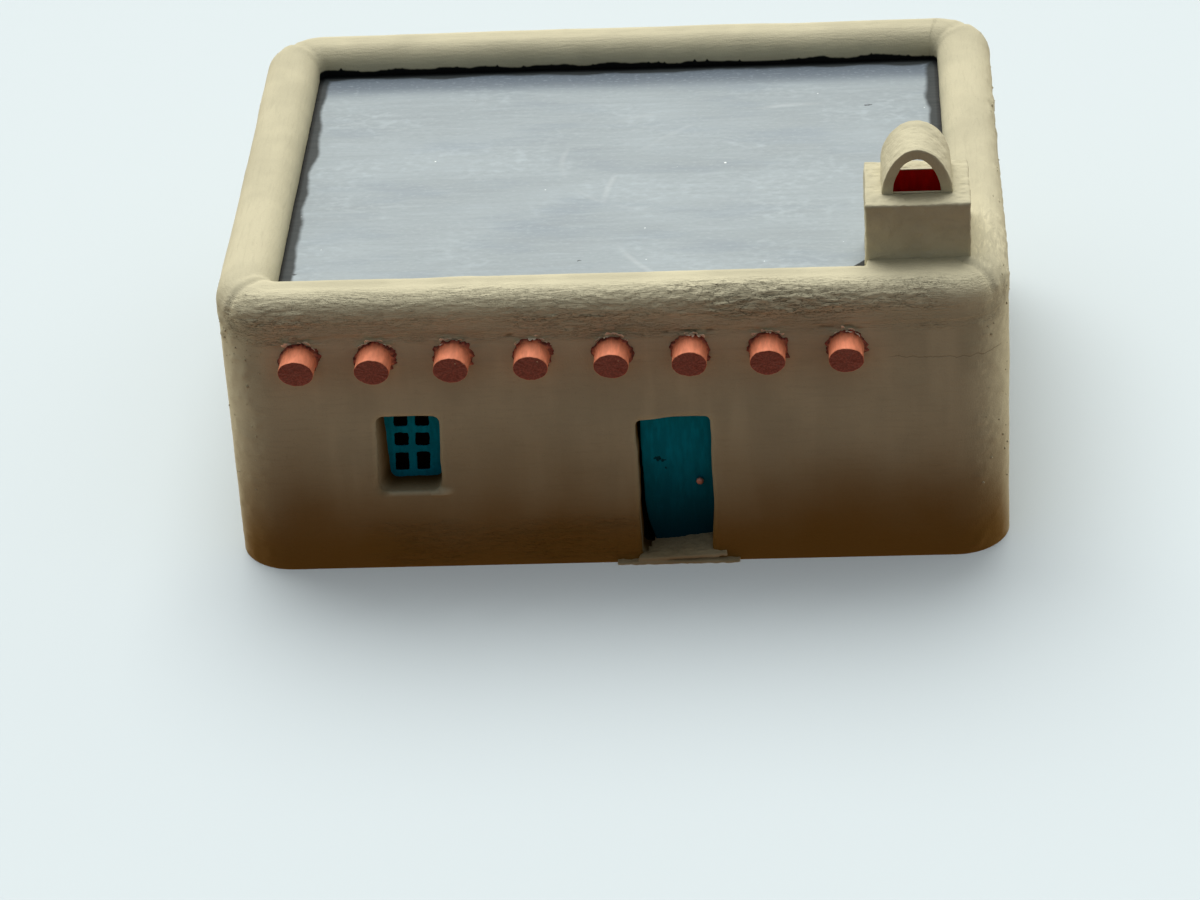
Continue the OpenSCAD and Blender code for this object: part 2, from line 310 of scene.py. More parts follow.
def moulded(name, bm, voxel, smooth, lumps, seed, materials):
    """Joins the shapes in bm into one softened solid with an uneven painted skin.

    lumps is a list of (size, depth) in millimetres."""
    rough = bpy.data.meshes.new(name + "_rough")
    bmesh.ops.recalc_face_normals(bm, faces=bm.faces)
    bm.to_mesh(rough)
    bm.free()
    carrier = bpy.data.objects.new(name + "_rough", rough)
    bpy.context.scene.collection.objects.link(carrier)
    remesh = carrier.modifiers.new("join", "REMESH")
    remesh.mode = "VOXEL"
    remesh.voxel_size = voxel
    soften = carrier.modifiers.new("soften", "SMOOTH")
    soften.factor = 0.5
    soften.iterations = smooth
    dense = bpy.data.meshes.new_from_object(carrier.evaluated_get(bpy.context.evaluated_depsgraph_get()))
    points, normals = np.empty((2, len(dense.vertices) * 3))
    dense.vertices.foreach_get("co", points)
    dense.vertices.foreach_get("normal", normals)
    points, normals = points.reshape(-1, 3), normals.reshape(-1, 3)
    for i, (size, depth) in enumerate(lumps):
        points = points + normals * (depth * noise(points, size, seed + i))[:, None]
    faces = [tuple(face.vertices) for face in dense.polygons]
    bpy.data.objects.remove(carrier)
    bpy.data.meshes.remove(rough)
    bpy.data.meshes.remove(dense)
    return build_mesh(name, points, faces, materials)


# ---------------------------------------------------------------- materials


def add_node(tree, kind, inputs=None, **settings):
    """A shader node whose inputs are numbers, colours or other nodes' sockets."""
    made = tree.nodes.new(kind)
    for key, value in settings.items():
        setattr(made, key, value)
    for key, value in (inputs or {}).items():
        if isinstance(value, bpy.types.NodeSocket):
            tree.links.new(value, made.inputs[key])
        else:
            made.inputs[key].default_value = value
    return made


def mix_node(tree, factor, a, b):
    """A mix of two colours, each a socket or red, green and blue."""
    a, b = (value if isinstance(value, bpy.types.NodeSocket) else (*value, 1.0) for value in (a, b))
    return add_node(tree, "ShaderNodeMix", {0: factor, 6: a, 7: b}, data_type="RGBA").outputs[2]


def shade(base, factor):
    return tuple(min(1.0, channel * factor) for channel in base)


class Finish:
    """One material, laid on in coats. Its x, y, z and grain are in millimetres.

    Values may be numbers or sockets."""

    def __init__(self, name, roughness=0.7, specular=0.35, metallic=0.0):
        self.material = bpy.data.materials.new(name)
        self.material.use_nodes = True
        self.tree = self.material.node_tree
        self.shader = self.tree.nodes["Principled BSDF"]
        self.shader.inputs["Roughness"].default_value = roughness
        self.shader.inputs["Specular IOR Level"].default_value = specular
        self.shader.inputs["Metallic"].default_value = metallic
        self.place = self.scaled(self.node("ShaderNodeTexCoord").outputs["Object"], (1 / MM,) * 3)
        self.x, self.y, self.z = self.node("ShaderNodeSeparateXYZ", {0: self.place}).outputs
        self.tone = None

    def node(self, kind, inputs=None, **settings):
        return add_node(self.tree, kind, inputs, **settings)

    def scaled(self, vector, factors):
        made = self.node("ShaderNodeVectorMath", {0: vector, 1: factors}, operation="MULTIPLY")
        return made.outputs[0]

    def attribute(self, name, output="Fac"):
        return self.node("ShaderNodeAttribute", attribute_name=name).outputs[output]

    def grain(self, scale, detail=3.0, distortion=0.0, over=None):
        """Noise from 0 to 1. scale is features to the millimetre, for each axis or for all."""
        over = self.place if over is None else over
        if isinstance(scale, tuple):
            over, scale = self.scaled(over, scale), 1.0
        inputs = {"Vector": over, "Scale": scale, "Detail": detail, "Distortion": distortion}
        return self.node("ShaderNodeTexNoise", inputs).outputs[0]

    def flecks(self, scale, size, share):
        """1 inside scattered round flecks of the given size. share is how many cells have one."""
        cells = self.node("ShaderNodeTexVoronoi", {"Vector": self.place, "Scale": scale})
        pick = self.node("ShaderNodeSeparateColor", {0: cells.outputs["Color"]}).outputs[0]
        return self.times(self.below(cells.outputs["Distance"], size * scale), self.below(pick, share))

    def math(self, operation, a, b):
        return self.node("ShaderNodeMath", {0: a, 1: b}, operation=operation).outputs[0]

    def times(self, first, *others):
        for other in others:
            first = self.math("MULTIPLY", first, other)
        return first

    def plus(self, first, *others):
        for other in others:
            first = self.math("ADD", first, other)
        return first

    def minus(self, a, b):
        return self.math("SUBTRACT", a, b)

    def apart(self, a, b=0.0):
        """The distance between two values."""
        return self.math("ABSOLUTE", self.minus(a, b), 0.0)

    def below(self, value, limit):
        """1 where the value is less than the limit."""
        return self.math("LESS_THAN", value, limit)

    def larger(self, a, b):
        return self.math("MAXIMUM", a, b)

    def fade(self, value, low, high, start=0.0, end=1.0):
        """Carries low to start and high to end, smoothly, and holds beyond them."""
        inputs = {"Value": value, 1: low, 2: high, 3: start, 4: end}
        return self.node("ShaderNodeMapRange", inputs, interpolation_type="SMOOTHSTEP").outputs[0]

    def mix(self, factor, a, b):
        return mix_node(self.tree, factor, a, b)

    def first_coat(self, pattern, low, high, base, darker, paler):
        """Starts with a pattern in two shades of one colour."""
        self.tone = self.mix(self.fade(pattern, low, high), shade(base, darker), shade(base, paler))

    def coat(self, share, tint):
        """Lays a colour over the coats so far, by a share from 0 to 1."""
        self.tone = self.mix(share, self.tone, tint)

    def shades(self, base, coats):
        """Lays shades of one colour, each by a pattern, its range, a share and a shade."""
        for pattern, low, high, share, factor in coats:
            self.coat(self.fade(pattern, low, high, 0.0, share), shade(base, factor))

    def nicks(self, u, v, marks, tint):
        """Small ragged dark marks, each with its middle and its reach."""
        ragged = self.fade(self.grain((3.0, 3.0, 3.0), detail=2.0), 0.3, 0.7, -0.25, 0.25)
        for middle_u, middle_v, reach in marks:
            away = self.plus(self.apart(u, middle_u), self.times(self.apart(v, middle_v), 1.6), ragged)
            self.coat(self.fade(away, reach + 0.08, reach - 0.05, 0.0, 0.8), tint)

    def bump(self, height, depth, strength):
        """Fine relief over the relief so far. depth is in metres."""
        inputs = {"Height": height, "Distance": depth, "Strength": strength}
        before = self.shader.inputs["Normal"].links
        if before:
            inputs["Normal"] = before[0].from_socket
        self.set("Normal", self.node("ShaderNodeBump", inputs).outputs[0])

    def set(self, key, socket):
        self.tree.links.new(socket, self.shader.inputs[key])

    def done(self):
        self.set("Base Color", self.tone)
        return self.material


def khaki_paint(name, walls, weathered_and_shaded=False, fine=1.0, dirt=0.0):
    """Matte khaki paint over wood.

    The weathering flag adds the wear of the outside walls, with painted highlight and painted shade; fine
    scales the size of the brush marks, and dirt is an even share of brown."""
    finish = Finish(name, roughness=0.82, specular=0.14)
    along = finish.attribute("grain", "Vector") if weathered_and_shaded else finish.place
    base, grime_and_shade = tuple(walls.paint), tuple(walls.grime_and_shade)
    clouds = finish.grain(0.16 * fine, detail=4.0)
    streaks = finish.grain((0.35 * fine, 3.2 * fine, 1.0), detail=4.0, distortion=0.4, over=along)
    speckle = finish.grain(5.5 * fine, detail=2.0)
    finish.first_coat(clouds, 0.33, 0.67, base, 0.92, 1.07)
    finish.shades(base, (
        (streaks, 0.50, 0.72, 0.28, 0.78),
        (speckle, 0.62, 0.74, 0.30, 0.66),
        (speckle, 0.36, 0.26, 0.25, 1.2),
    ))
    if dirt:
        finish.coat(finish.fade(clouds, 0.3, 0.7, dirt * 0.7, dirt * 1.3), grime_and_shade)
    if weathered_and_shaded:
        weather_and_painted_light(finish, along, clouds, base, grime_and_shade)
    ridges = finish.grain((1.0 * fine, 4.2 * fine, 1.0), distortion=0.6, over=along)
    finish.bump(ridges, 0.00007, 0.55)
    finish.bump(streaks, 0.00004, 0.5)
    finish.bump(finish.grain(7.0 * fine, detail=4.0), 0.00005, 0.6)
    return finish.done()


def weather_and_painted_light(finish, along, clouds, base, grime_and_shade):
    """Runs, brush marks, the roof's black sealer, a brown foot that is dirt and painted shade, painted shade
    in the cracks, and painted highlight on the brow and the front corners.
    """
    x, y, z = finish.x, finish.y, finish.z
    front = finish.fade(y, -INNER_Y - 2.0, -INNER_Y - 4.0)
    flat_front = finish.times(finish.fade(z, CREST_Z - 2.5, CREST_Z - 4.5), front)
    rail_end = finish.times(
        finish.fade(x, INNER_X + 1.5, INNER_X + 2.5),
        finish.fade(y, 10.0 - INNER_Y, 6.5 - INNER_Y),
    )
    runs = finish.grain((0.28, 0.02, 0.045))
    strokes = finish.grain((2.2, 0.5, 1.0), distortion=1.5)
    for pattern, low, high, share, where, factor in (
        (runs, 0.50, 0.68, 0.5, flat_front, 1.22),
        (runs, 0.48, 0.32, 0.35, flat_front, 0.82),
        (strokes, 0.54, 0.66, 0.34, rail_end, 1.5),
        (strokes, 0.46, 0.36, 0.28, rail_end, 0.62),
    ):
        finish.coat(finish.times(finish.fade(pattern, low, high, 0.0, share), where), shade(base, factor))
    # Painted highlight: the brow is paler where it faces up into the light.
    brow = finish.times(finish.fade(z, CREST_Z - 3.4, CREST_Z - 1.6), front)
    finish.coat(finish.times(brow, 0.55), shade(base, 1.42))
    # Painted highlight: the front upright corners are paler where side light falls on them.
    corner = finish.times(
        finish.fade(finish.apart(x), INNER_X + 1.6, INNER_X + 4.4),
        finish.fade(y, 0.5 - INNER_Y, -INNER_Y - 1.5),
        finish.fade(z, CREST_Z - 3.0, CREST_Z - 6.0),
    )
    finish.coat(finish.times(corner, 0.6), shade(base, 1.40))
    # Brown towards the ground: partly dirt, partly painted shade, strongest on the front and deep in the
    # openings.
    dirt_and_shade = finish.plus(finish.attribute("dirt_and_shade"), finish.times(clouds, 0.25))
    finish.coat(finish.fade(dirt_and_shade, 0.10, 1.06, 0.0, 0.97), grime_and_shade)
    # Painted shade: darker in the cracks and creases, in the splits over the vigas and deep in the openings.
    shaded_cracks = finish.larger(finish.attribute("crack_shade"), hairline(finish))
    finish.coat(finish.fade(shaded_cracks, 0.1, 1.0, 0.0, 0.85), shade(grime_and_shade, 0.35))
    pucker(finish, along, grime_and_shade)
    finish.coat(sealer_edge(finish), (0.004, 0.005, 0.006))
    finish.bump(finish.times(shaded_cracks, -1.0), 0.00006, 0.6)


def pucker(finish, along, grime_and_shade):
    """Torn layers of paint with crisp ledges, and painted shade along their splits."""
    share = finish.attribute("pucker")
    folds = finish.grain((0.60, 3.9, 1.0), detail=5.0, distortion=0.9, over=along)
    finer = finish.grain((1.2, 7.0, 0.7), detail=4.0, distortion=0.6, over=along)
    layers = finish.plus(finish.fade(folds, 0.49, 0.535), finish.fade(finer, 0.50, 0.545, 0.0, 0.7))
    splits = finish.larger(
        finish.fade(finish.apart(folds, 0.505), 0.022, 0.004),
        finish.fade(finish.apart(finer, 0.515), 0.018, 0.004, 0.0, 0.7),
    )
    # The splits are darkened as painted shade in the creases.
    splits = finish.times(splits, finish.fade(share, 0.35, 1.0), 0.44)
    finish.coat(splits, shade(grime_and_shade, 0.34))
    finish.bump(finish.times(layers, share), 0.00014, 0.9)


def hairline(finish):
    """1 along a hairline split that runs level to the right of the last viga."""
    low, high = box_mm(VIGAS[-1])
    start = float(high[0]) + 1.0
    wander = finish.fade(finish.grain((0.9, 0.0, 0.0)), 0.2, 0.8, -0.16, 0.16)
    fall = finish.times(finish.minus(finish.x, start), -0.03)
    line = finish.plus(wander, float(low[2]) + 0.42, fall)
    split = finish.fade(finish.apart(finish.z, line), 0.10, 0.01, 0.0, 0.5)
    ends = (finish.fade(finish.x, start, start + 2.0), finish.fade(finish.x, INNER_X + 4.6, INNER_X + 3.9))
    return finish.times(split, *ends, finish.below(finish.y, 2.0 - INNER_Y))


def sealer_edge(finish):
    """1 where the roof's black sealer has crept up the inside of the parapet."""
    beads = finish.grain((0.30, 0.30, 0.0), detail=2.0)
    fine = finish.grain((1.6, 1.6, 0.0), detail=1.0)
    creep = finish.plus(finish.fade(beads, 0.35, 0.72, 0.30, 0.62), finish.fade(fine, 0.66, 0.80, 0.0, 0.16))
    creep = finish.times(creep, finish.fade(finish.y, INNER_Y - 1.2, INNER_Y - 0.4))
    height = finish.plus(creep, finish.fade(fine, 0.5, 0.8, 0.08, 0.18), ROOF_Z)
    return finish.times(
        finish.fade(finish.minus(finish.z, height), 0.12, -0.10),
        finish.below(finish.apart(finish.x), INNER_X + 0.7),
        finish.below(finish.apart(finish.y), INNER_Y + 0.7),
    )


def slate_finish(roof):
    """Slate-grey board, scuffed pale in the middle and bare and dark along its edges, with painted shadow
    along the back.
    """
    finish = Finish("roof_slate", roughness=0.72, specular=0.16)
    pale = tuple(roof.pale)
    clouds = finish.grain((0.05, 0.12, 0.0), detail=4.0)
    strokes = finish.grain((0.10, 1.6, 0.0), detail=5.0)
    wisps = finish.grain((0.16, 1.1, 0.0), detail=5.0)
    weave = finish.grain((1.7, 3.2, 0.0), detail=4.0)
    patches = finish.fade(finish.grain((0.09, 0.14, 0.0), detail=2.0), 0.45, 0.62)
    puffs = finish.fade(finish.grain((0.9, 1.3, 0.0), detail=6.0), 0.42, 0.75, 0.0, 0.6)
    washes = finish.grain((0.07, 0.22, 0.0))
    finish.first_coat(clouds, 0.35, 0.68, pale, 0.94, 1.05)
    finish.shades(pale, (
        (strokes, 0.45, 0.75, 0.26, 1.25),
        (strokes, 0.50, 0.28, 0.22, 0.74),
        (wisps, 0.54, 0.74, 0.30, 1.35),
    ))
    finish.coat(finish.times(puffs, patches), shade(pale, 1.32))
    finish.coat(finish.fade(washes, 0.50, 0.30, 0.0, 0.22), (0.16, 0.21, 0.29))
    # Painted shadow of the back parapet along the back of the board.
    finish.coat(finish.fade(finish.y, INNER_Y - 6.0, INNER_Y - 2.4, 0.0, 0.52), (0.13, 0.17, 0.22))
    finish.coat(finish.fade(finish.y, INNER_Y - 4.8, INNER_Y - 2.2, 0.0, 0.82), (0.10, 0.13, 0.17))
    finish.shades(pale, ((weave, 0.52, 0.74, 0.26, 1.35), (weave, 0.46, 0.28, 0.20, 0.72)))
    for scuff in ROOF_SCUFFS:
        finish.coat(rubbed_arc(finish, *scuff), (0.7, 0.74, 0.76))
    finish.coat(finish.flecks(0.22, 0.12, 0.4), (0.85, 0.9, 0.9))
    finish.coat(finish.flecks(0.40, 0.08, 0.5), (0.75, 0.8, 0.82))
    finish.nicks(finish.x, finish.y, ROOF_NICKS, (0.03, 0.035, 0.04))
    roof_border(finish, roof, clouds)
    finish.set("Roughness", finish.fade(strokes, 0.2, 0.8, 0.42, 0.60))
    finish.bump(strokes, 0.00003, 0.35)
    finish.bump(weave, 0.00003, 0.4)
    return finish.done()


def rubbed_arc(finish, middle_x, middle_y, radius, share):
    """A faint curved rub mark, in patches, on the upper left of a circle."""
    over, along = finish.minus(finish.x, middle_x), finish.minus(finish.y, middle_y)
    squares = finish.plus(finish.times(over, over), finish.times(along, along))
    line = finish.fade(finish.apart(finish.math("SQRT", squares, 0.0), radius), 0.45, 0.02)
    patches = finish.fade(finish.grain((0.12, 0.12, 0.0), detail=2.0), 0.45, 0.62)
    return finish.times(line, patches, finish.fade(over, 2.0, -2.0), share)


def roof_border(finish, roof, clouds):
    """The bare edge of the board, the dark gap between it and the parapet, and a painted shadow in the
    corner beside the chimney.
    """
    dark = tuple(roof.dark)
    from_side = finish.minus(INNER_X, finish.apart(finish.x))
    from_end = finish.minus(INNER_Y, finish.apart(finish.y))
    from_edge = finish.math("MINIMUM", from_side, from_end)
    drift = finish.fade(finish.grain((0.10, 0.10, 0.0), detail=1.0), 0.2, 0.8, -0.45, 0.45)
    ragged = finish.grain((0.32, 0.32, 0.0), detail=4.0)
    edge = finish.plus(from_edge, drift, finish.fade(ragged, 0.2, 0.8, -0.16, 0.16))
    border = roof.border / MM
    dark_tone = finish.mix(clouds, shade(dark, 0.5), shade(dark, 0.9))
    finish.coat(finish.fade(edge, border + 0.24, border - 0.24), dark_tone)
    at_back = finish.fade(finish.y, INNER_Y - 1.5, INNER_Y - 0.2, 0.0, 0.22)
    gap = finish.fade(finish.minus(from_edge, at_back), 0.50, 0.20)
    # Painted shadow: a dark wedge on the roof in the corner left of the chimney block.
    beside = finish.apart(finish.x, float(box_mm("chimney_block")[0][0]))
    wedge = finish.plus(beside, finish.y, INNER_Y, finish.fade(ragged, 0.2, 0.8, -0.2, 0.2))
    wedge = finish.times(finish.fade(wedge, 4.6, 4.4), finish.fade(beside, 1.3, 1.1))
    finish.coat(finish.larger(gap, wedge), (0.006, 0.008, 0.009))


def viga_finish(vigas):
    """Terracotta stain along the sides and darker end grain, told apart by an attribute."""
    finish = Finish("viga_stain", roughness=0.62, specular=0.3)
    end = tuple(vigas.end_grain)
    fibres = finish.grain((3.0, 0.7, 3.0), detail=4.0)
    pores = finish.grain((6.0, 2.0, 6.0))
    finish.first_coat(pores, 0.4, 0.65, end, 0.75, 1.25)
    finish.coat(finish.flecks(1.4, 0.07, 0.35), (0.62, 0.45, 0.32))
    sawn = finish.tone
    finish.first_coat(fibres, 0.34, 0.70, tuple(vigas.stain), 0.84, 1.10)
    finish.coat(finish.attribute("sawn"), sawn)
    filler = finish.mix(finish.fade(fibres, 0.4, 0.6), shade(end, 0.35), shade(end, 1.15))
    finish.coat(finish.attribute("filler"), filler)
    finish.bump(fibres, 0.00006, 0.6)
    finish.bump(pores, 0.00004, 0.5)
    return finish.done()


def torn_finish(walls):
    """Broken edges of paint, paler than the wall both as bare edges and as painted highlight, with stained
    fibres.
    """
    finish = Finish("torn_paint", roughness=0.8, specular=0.1)
    chips = finish.grain(3.0)
    # Paler than the wall: bare broken paint, and painted highlight where the shards would catch the light.
    finish.tone = finish.mix(finish.fade(chips, 0.30, 0.5), shade(walls.paint, 1.4), (1.0, 0.93, 0.80))
    finish.coat(finish.fade(chips, 0.66, 0.74), (0.30, 0.12, 0.07))
    finish.bump(chips, 0.00005, 0.6)
    return finish.done()


def teal_finish(openings, name):
    """Brushed teal paint, darker towards the foot as painted shade, with small dark scuffs."""
    finish = Finish(name, roughness=0.65, specular=0.06)
    teal = tuple(openings.teal)
    strokes = finish.grain((2.4, 1.0, 0.5), detail=4.0)
    finish.first_coat(strokes, 0.34, 0.68, teal, 0.86, 1.14)
    finish.shades(teal, [(finish.grain(0.5), 0.45, 0.7, 0.3, 0.72)])
    low, high = box_mm("door_panel")
    # Painted shade: darker towards the door's foot, which also darkens the window board's lower part.
    finish.coat(finish.fade(finish.z, float(low[2]), float(high[2]) - 1.0, 1.0, 0.0), shade(teal, 0.10))
    over, up = finish.minus(finish.x, float(low[0])), finish.minus(finish.z, float(low[2]))
    finish.nicks(over, up, DOOR_NICKS, shade(teal, 0.05))
    finish.bump(strokes, 0.00005, 0.6)
    return finish.done()


def glazing_finish():
    """Near-black gloss, with a slight haze of dust."""
    finish = Finish("dark_glazing", roughness=0.25, specular=0.03)
    haze = finish.grain(1.5)
    finish.tone = finish.mix(haze, (0.0003, 0.0004, 0.0006), (0.0012, 0.0014, 0.002))
    finish.set("Roughness", finish.fade(haze, 0.3, 0.7, 0.12, 0.35))
    return finish.done()


def copper_finish(openings):
    """Dull copper, darker where it has tarnished."""
    finish = Finish("copper_pin", roughness=0.4, metallic=0.7)
    copper = tuple(openings.copper)
    tarnish = finish.grain(4.0)
    finish.tone = finish.mix(tarnish, shade(copper, 0.6), copper)
    finish.bump(tarnish, 0.00002, 0.5)
    return finish.done()


def flue_finish(chimney, walls):
    """Dark red paint with darker runs, black towards the bottom of the hole as painted shade, and khaki on
    the rim and the front.
    """
    finish = Finish("flue_red", roughness=0.5)
    red = tuple(chimney.flue)
    low, high = box_mm("flue_lining")
    top = float(high[2])
    runs = finish.grain((1.8, 1.8, 0.5))
    finish.tone = finish.mix(runs, shade(red, 0.55), shade(red, 1.4))
    # Painted shade: near-black deep in the hole.
    finish.coat(finish.fade(finish.z, float(low[2]), top - 1.5, 0.9, 0.0), (0.012, 0.002, 0.002))
    rim = finish.fade(finish.z, top - 0.12, top - 0.04)
    finish.coat(finish.larger(rim, finish.below(finish.y, float(low[1]) + 0.04)), tuple(walls.paint))
    finish.bump(runs, 0.00004, 0.4)
    return finish.done()


def bare_wood():
    """Plain board with long grain, for the floor inside the walls."""
    finish = Finish("floor_board", specular=0.3)
    rings = finish.grain((0.06, 0.9, 0.9), detail=5.0, distortion=0.8)
    fibres = finish.grain((0.4, 7.0, 7.0))
    finish.tone = finish.mix(finish.fade(rings, 0.35, 0.65), (0.40, 0.26, 0.13), (0.58, 0.42, 0.25))
    finish.coat(finish.fade(fibres, 0.5, 0.8, 0.0, 0.5), (0.27, 0.17, 0.08))
    finish.bump(fibres, 0.00004, 0.5)
    return finish.done()


def shadow_finish():
    """Near-black painted shade for the unlit depth behind the door and the window board."""
    finish = Finish("dark_inside", roughness=0.9, specular=0.1)
    finish.tone = finish.mix(finish.grain(2.0, detail=2.0), (0.004, 0.003, 0.003), (0.012, 0.009, 0.007))
    return finish.done()


# ---------------------------------------------------------------- walls and parapet


class Opening:
    """A hand-cut opening in the front wall.

    Its outline is a rounded box between low and high. lean moves the head to the right, pinch
    brings the right side in at the foot and droop lowers the head's left end. The left jamb
    closes in towards the back, by splay[0] at the head and splay[1] at the foot."""

    def __init__(self, low, high, corner, splay, lean=0.0, pinch=0.0, droop=0.0, seed=0):
        self.low, self.high, self.corner, self.splay = low, high, corner, splay
        self.lean, self.pinch, self.droop, self.seed = lean, pinch, droop, seed

    def share_up(self, z):
        return np.clip((z - self.low[2]) / (self.high[2] - self.low[2]), 0, 1)

    def distance(self, x, z):
        """Distance outside the outline, negative inside it."""
        (x0, _, z0), (x1, _, z1) = self.low, self.high
        up = self.share_up(z)
        left = x0 + self.lean * (up - 0.5)
        right = x1 + self.lean * (up - 0.5) - self.pinch * (1 - ramp(up, 0.0, 0.35))
        share_x = np.clip((x - x0) / (x1 - x0), 0, 1)
        top = z1 - self.droop * (1 - ramp(share_x, -0.1, 0.6))
        across = np.abs(x - (left + right) / 2) - (right - left) / 2 + self.corner
        rise = np.abs(z - (z0 + top) / 2) - (top - z0) / 2 + self.corner
        outside = np.hypot(np.maximum(across, 0), np.maximum(rise, 0))
        inside = np.minimum(np.maximum(across, rise), 0)
        wobble = 0.05 * noise(np.column_stack([x, z]), 1.6, self.seed)
        return outside + inside - self.corner + wobble

    def snap(self, x, z):
        """Moves points near the outline onto it."""
        step = 0.01
        for _ in range(4):
            here = self.distance(x, z)
            slope_x = (self.distance(x + step, z) - here) / step
            slope_z = (self.distance(x, z + step) - here) / step
            size = slope_x**2 + slope_z**2 + 1e-9
            x, z = x - here * slope_x / size, z - here * slope_z / size
        return x, z

    def jamb_shift(self, x, z):
        """How far a point of the outline moves to the right on its way to the back."""
        splay = self.splay[1] + (self.splay[0] - self.splay[1]) * self.share_up(z)
        share_x = np.clip((x - self.low[0]) / (self.high[0] - self.low[0]), 0, 1)
        return splay * (1 - ramp(share_x, 0.0, 0.45))


class Shell:
    """The four walls and the parapet as one painted skin, closed below and inside.

    Columns run round the house and rows run up the outside, over the crest and down inside."""

    def __init__(self, walls, openings):
        self.walls = walls
        self.openings = openings
        front_low, front_high = box_mm("front_wall")
        self.wall_t = float(front_high[1] - front_low[1])
        self.inner = np.array([INNER_X, INNER_Y])
        self.chimney_low, self.chimney_high = box_mm("chimney_block")
        self.window_low, self.window_high = box_mm("window_board")
        self.make_columns()
        self.make_rows()
        self.make_points()

    def make_columns(self):
        """Each column has a share of the way to the corner centre, and an outward direction."""
        walls = self.walls
        shares, outs = [], []
        sides = (
            ((-1, 0), (0, 1), 1.2 * walls.side_step),
            ((0, -1), (-1, 0), walls.side_step),
            ((1, 0), (0, -1), walls.front_step),
            ((0, 1), (1, 0), 0.55 * walls.side_step),
        )
        straight = self.inner * 2
        for travel, out, step in sides:
            travel, out = np.array(travel), np.array(out)
            is_front = out[1] == -1
            count = round(abs(straight @ travel) * MM / step)
            start = len(shares)
            for i in range(count):
                shares.append(out + travel * (2 * i / count - 1))
                outs.append(out)
            if is_front:
                self.front_columns = (start, len(shares))
            turn_count = 24 if is_front or travel[1] == -1 else 12
            for i in range(turn_count):
                angle = math.pi / 2 * i / turn_count
                shares.append(out + travel)
                outs.append(out * math.cos(angle) + travel * math.sin(angle))
        self.shares, self.outs = np.array(shares, float), np.array(outs, float)

    def at(self, depth):
        """Points at a distance out from the parapet's inner face, one for each column."""
        corner = self.walls.inner_corner / MM
        depth = np.asarray(depth, float)
        if depth.ndim == 0:
            depth = np.full(len(self.shares), float(depth))
        radius = corner + (self.wall_t - corner) * depth / self.wall_t
        centre = self.inner + (depth - radius)[:, None]
        return self.shares * centre + self.outs * radius[:, None]

    def inner_round(self):
        """The inner edge's radius in each column. It is nearly square against the chimney."""
        x, y = self.at(self.wall_t / 2).T
        beside = ramp(x, self.chimney_low[0] + 0.15, self.chimney_low[0] + 0.5)
        beside = beside * (1 - ramp(y, self.chimney_high[1] - 0.5, self.chimney_high[1] - 0.15))
        full, least = self.walls.inner_round / MM, 0.12
        return full + (least - full) * beside

    def make_rows(self):
        """Depth, height and normal of each row, with a section for each part of the profile.

        The rows lie closest where the paint is most wrinkled: on the brow and at the foot."""
        outer, inner = self.walls.outer_round / MM, self.inner_round()
        fine, coarse = self.walls.fine_step / MM, self.walls.row_step / MM
        thick, crest = self.wall_t, CREST_Z
        ones = np.ones(len(self.shares))
        rows = []

        def add(depth, height, out, up):
            rows.append([ones * depth, ones * height, ones * out, ones * up])

        foot, brow, top = 5.6, VIGA_TOP - 2.7, crest - outer
        heights = [
            *np.arange(0, foot, fine * 1.4),
            *np.arange(foot, brow, coarse),
            *np.arange(brow, top - fine / 2, fine),
        ]
        for height in heights:
            add(thick, height, 1, 0)
        self.face_rows = len(heights)
        arc = round(outer * math.pi / 2 / fine)
        for i in range(arc):
            angle = math.pi / 2 * i / arc
            add(
                thick - outer + outer * math.cos(angle),
                crest - outer + outer * math.sin(angle),
                math.cos(angle),
                math.sin(angle),
            )
        for i in range(3):
            add(thick - outer + (inner - thick + outer) * i / 3, crest, 0, 1)
        for i in range(14):
            angle = math.pi / 2 * i / 14
            add(
                inner - inner * math.sin(angle),
                crest - inner + inner * math.cos(angle),
                -math.sin(angle),
                math.cos(angle),
            )
        low = ROOF_Z - 0.4
        for i in range(4):
            add(0, crest - inner + (low - crest + inner) * i / 3, -1, 0)
        self.skin_rows = len(rows)
        add(0, 0, 0, -1)
        add(thick / 2, 0, 0, -1)
        self.rows = np.array(rows)

    def make_points(self):
        """Rest points, normals, and each point's place along and up the painted skin."""
        count = len(self.shares)
        points, normals = [], []
        for depth, height, out, up in self.rows:
            points.append(np.column_stack([self.at(depth), height]))
            normals.append(np.column_stack([self.outs * out[:, None], up]))
        self.points, self.normals = np.array(points), np.array(normals)
        ring = self.at(self.wall_t)
        run = np.linalg.norm(np.diff(ring, axis=0), axis=1)
        along = np.concatenate([[0], np.cumsum(run)])
        rise = np.linalg.norm(np.diff(self.rows[:, :2], axis=0), axis=1)
        up = np.concatenate([np.zeros((1, count)), np.cumsum(rise, axis=0)])
        self.along, self.up = np.broadcast_to(along, up.shape), up

    def faces(self):
        """Quads of the closed grid, each as its four corner numbers."""
        height, width = self.points.shape[:2]
        rows, columns = np.meshgrid(np.arange(height), np.arange(width), indexing="ij")
        next_row, next_column = (rows + 1) % height, (columns + 1) % width
        return np.stack(
            [
                rows * width + columns,
                rows * width + next_column,
                next_row * width + next_column,
                next_row * width + columns,
            ],
            axis=-1,
        ).reshape(-1, 4)

    def relief(self, points, along, up):
        """Height of the uneven skin, and the painted shade in its cracks, creases and over the vigas, from
        points in millimetres.
        """
        walls = self.walls
        height = walls.wobble / MM * layered(points, 9.0, 3, 3) + 0.025 * layered(points, 2.2, 11, 3)
        front = ramp(-points[:, 1], -FRONT_Y - 2.6, -FRONT_Y - 1.6)
        dark = np.zeros(len(points))
        for part in (self.wrinkles, self.roll_and_mitre, self.viga_ruff, self.sill):
            raised, darker = part(points, along, up, front)
            height = height + raised
            dark = np.maximum(dark, darker)
        crumbs = np.maximum(layered(points, 0.8, 71, 2), 0)
        height += self.corner_wear(points) * (0.26 * crumbs - 0.05)
        return height, np.clip(dark, 0, 1)

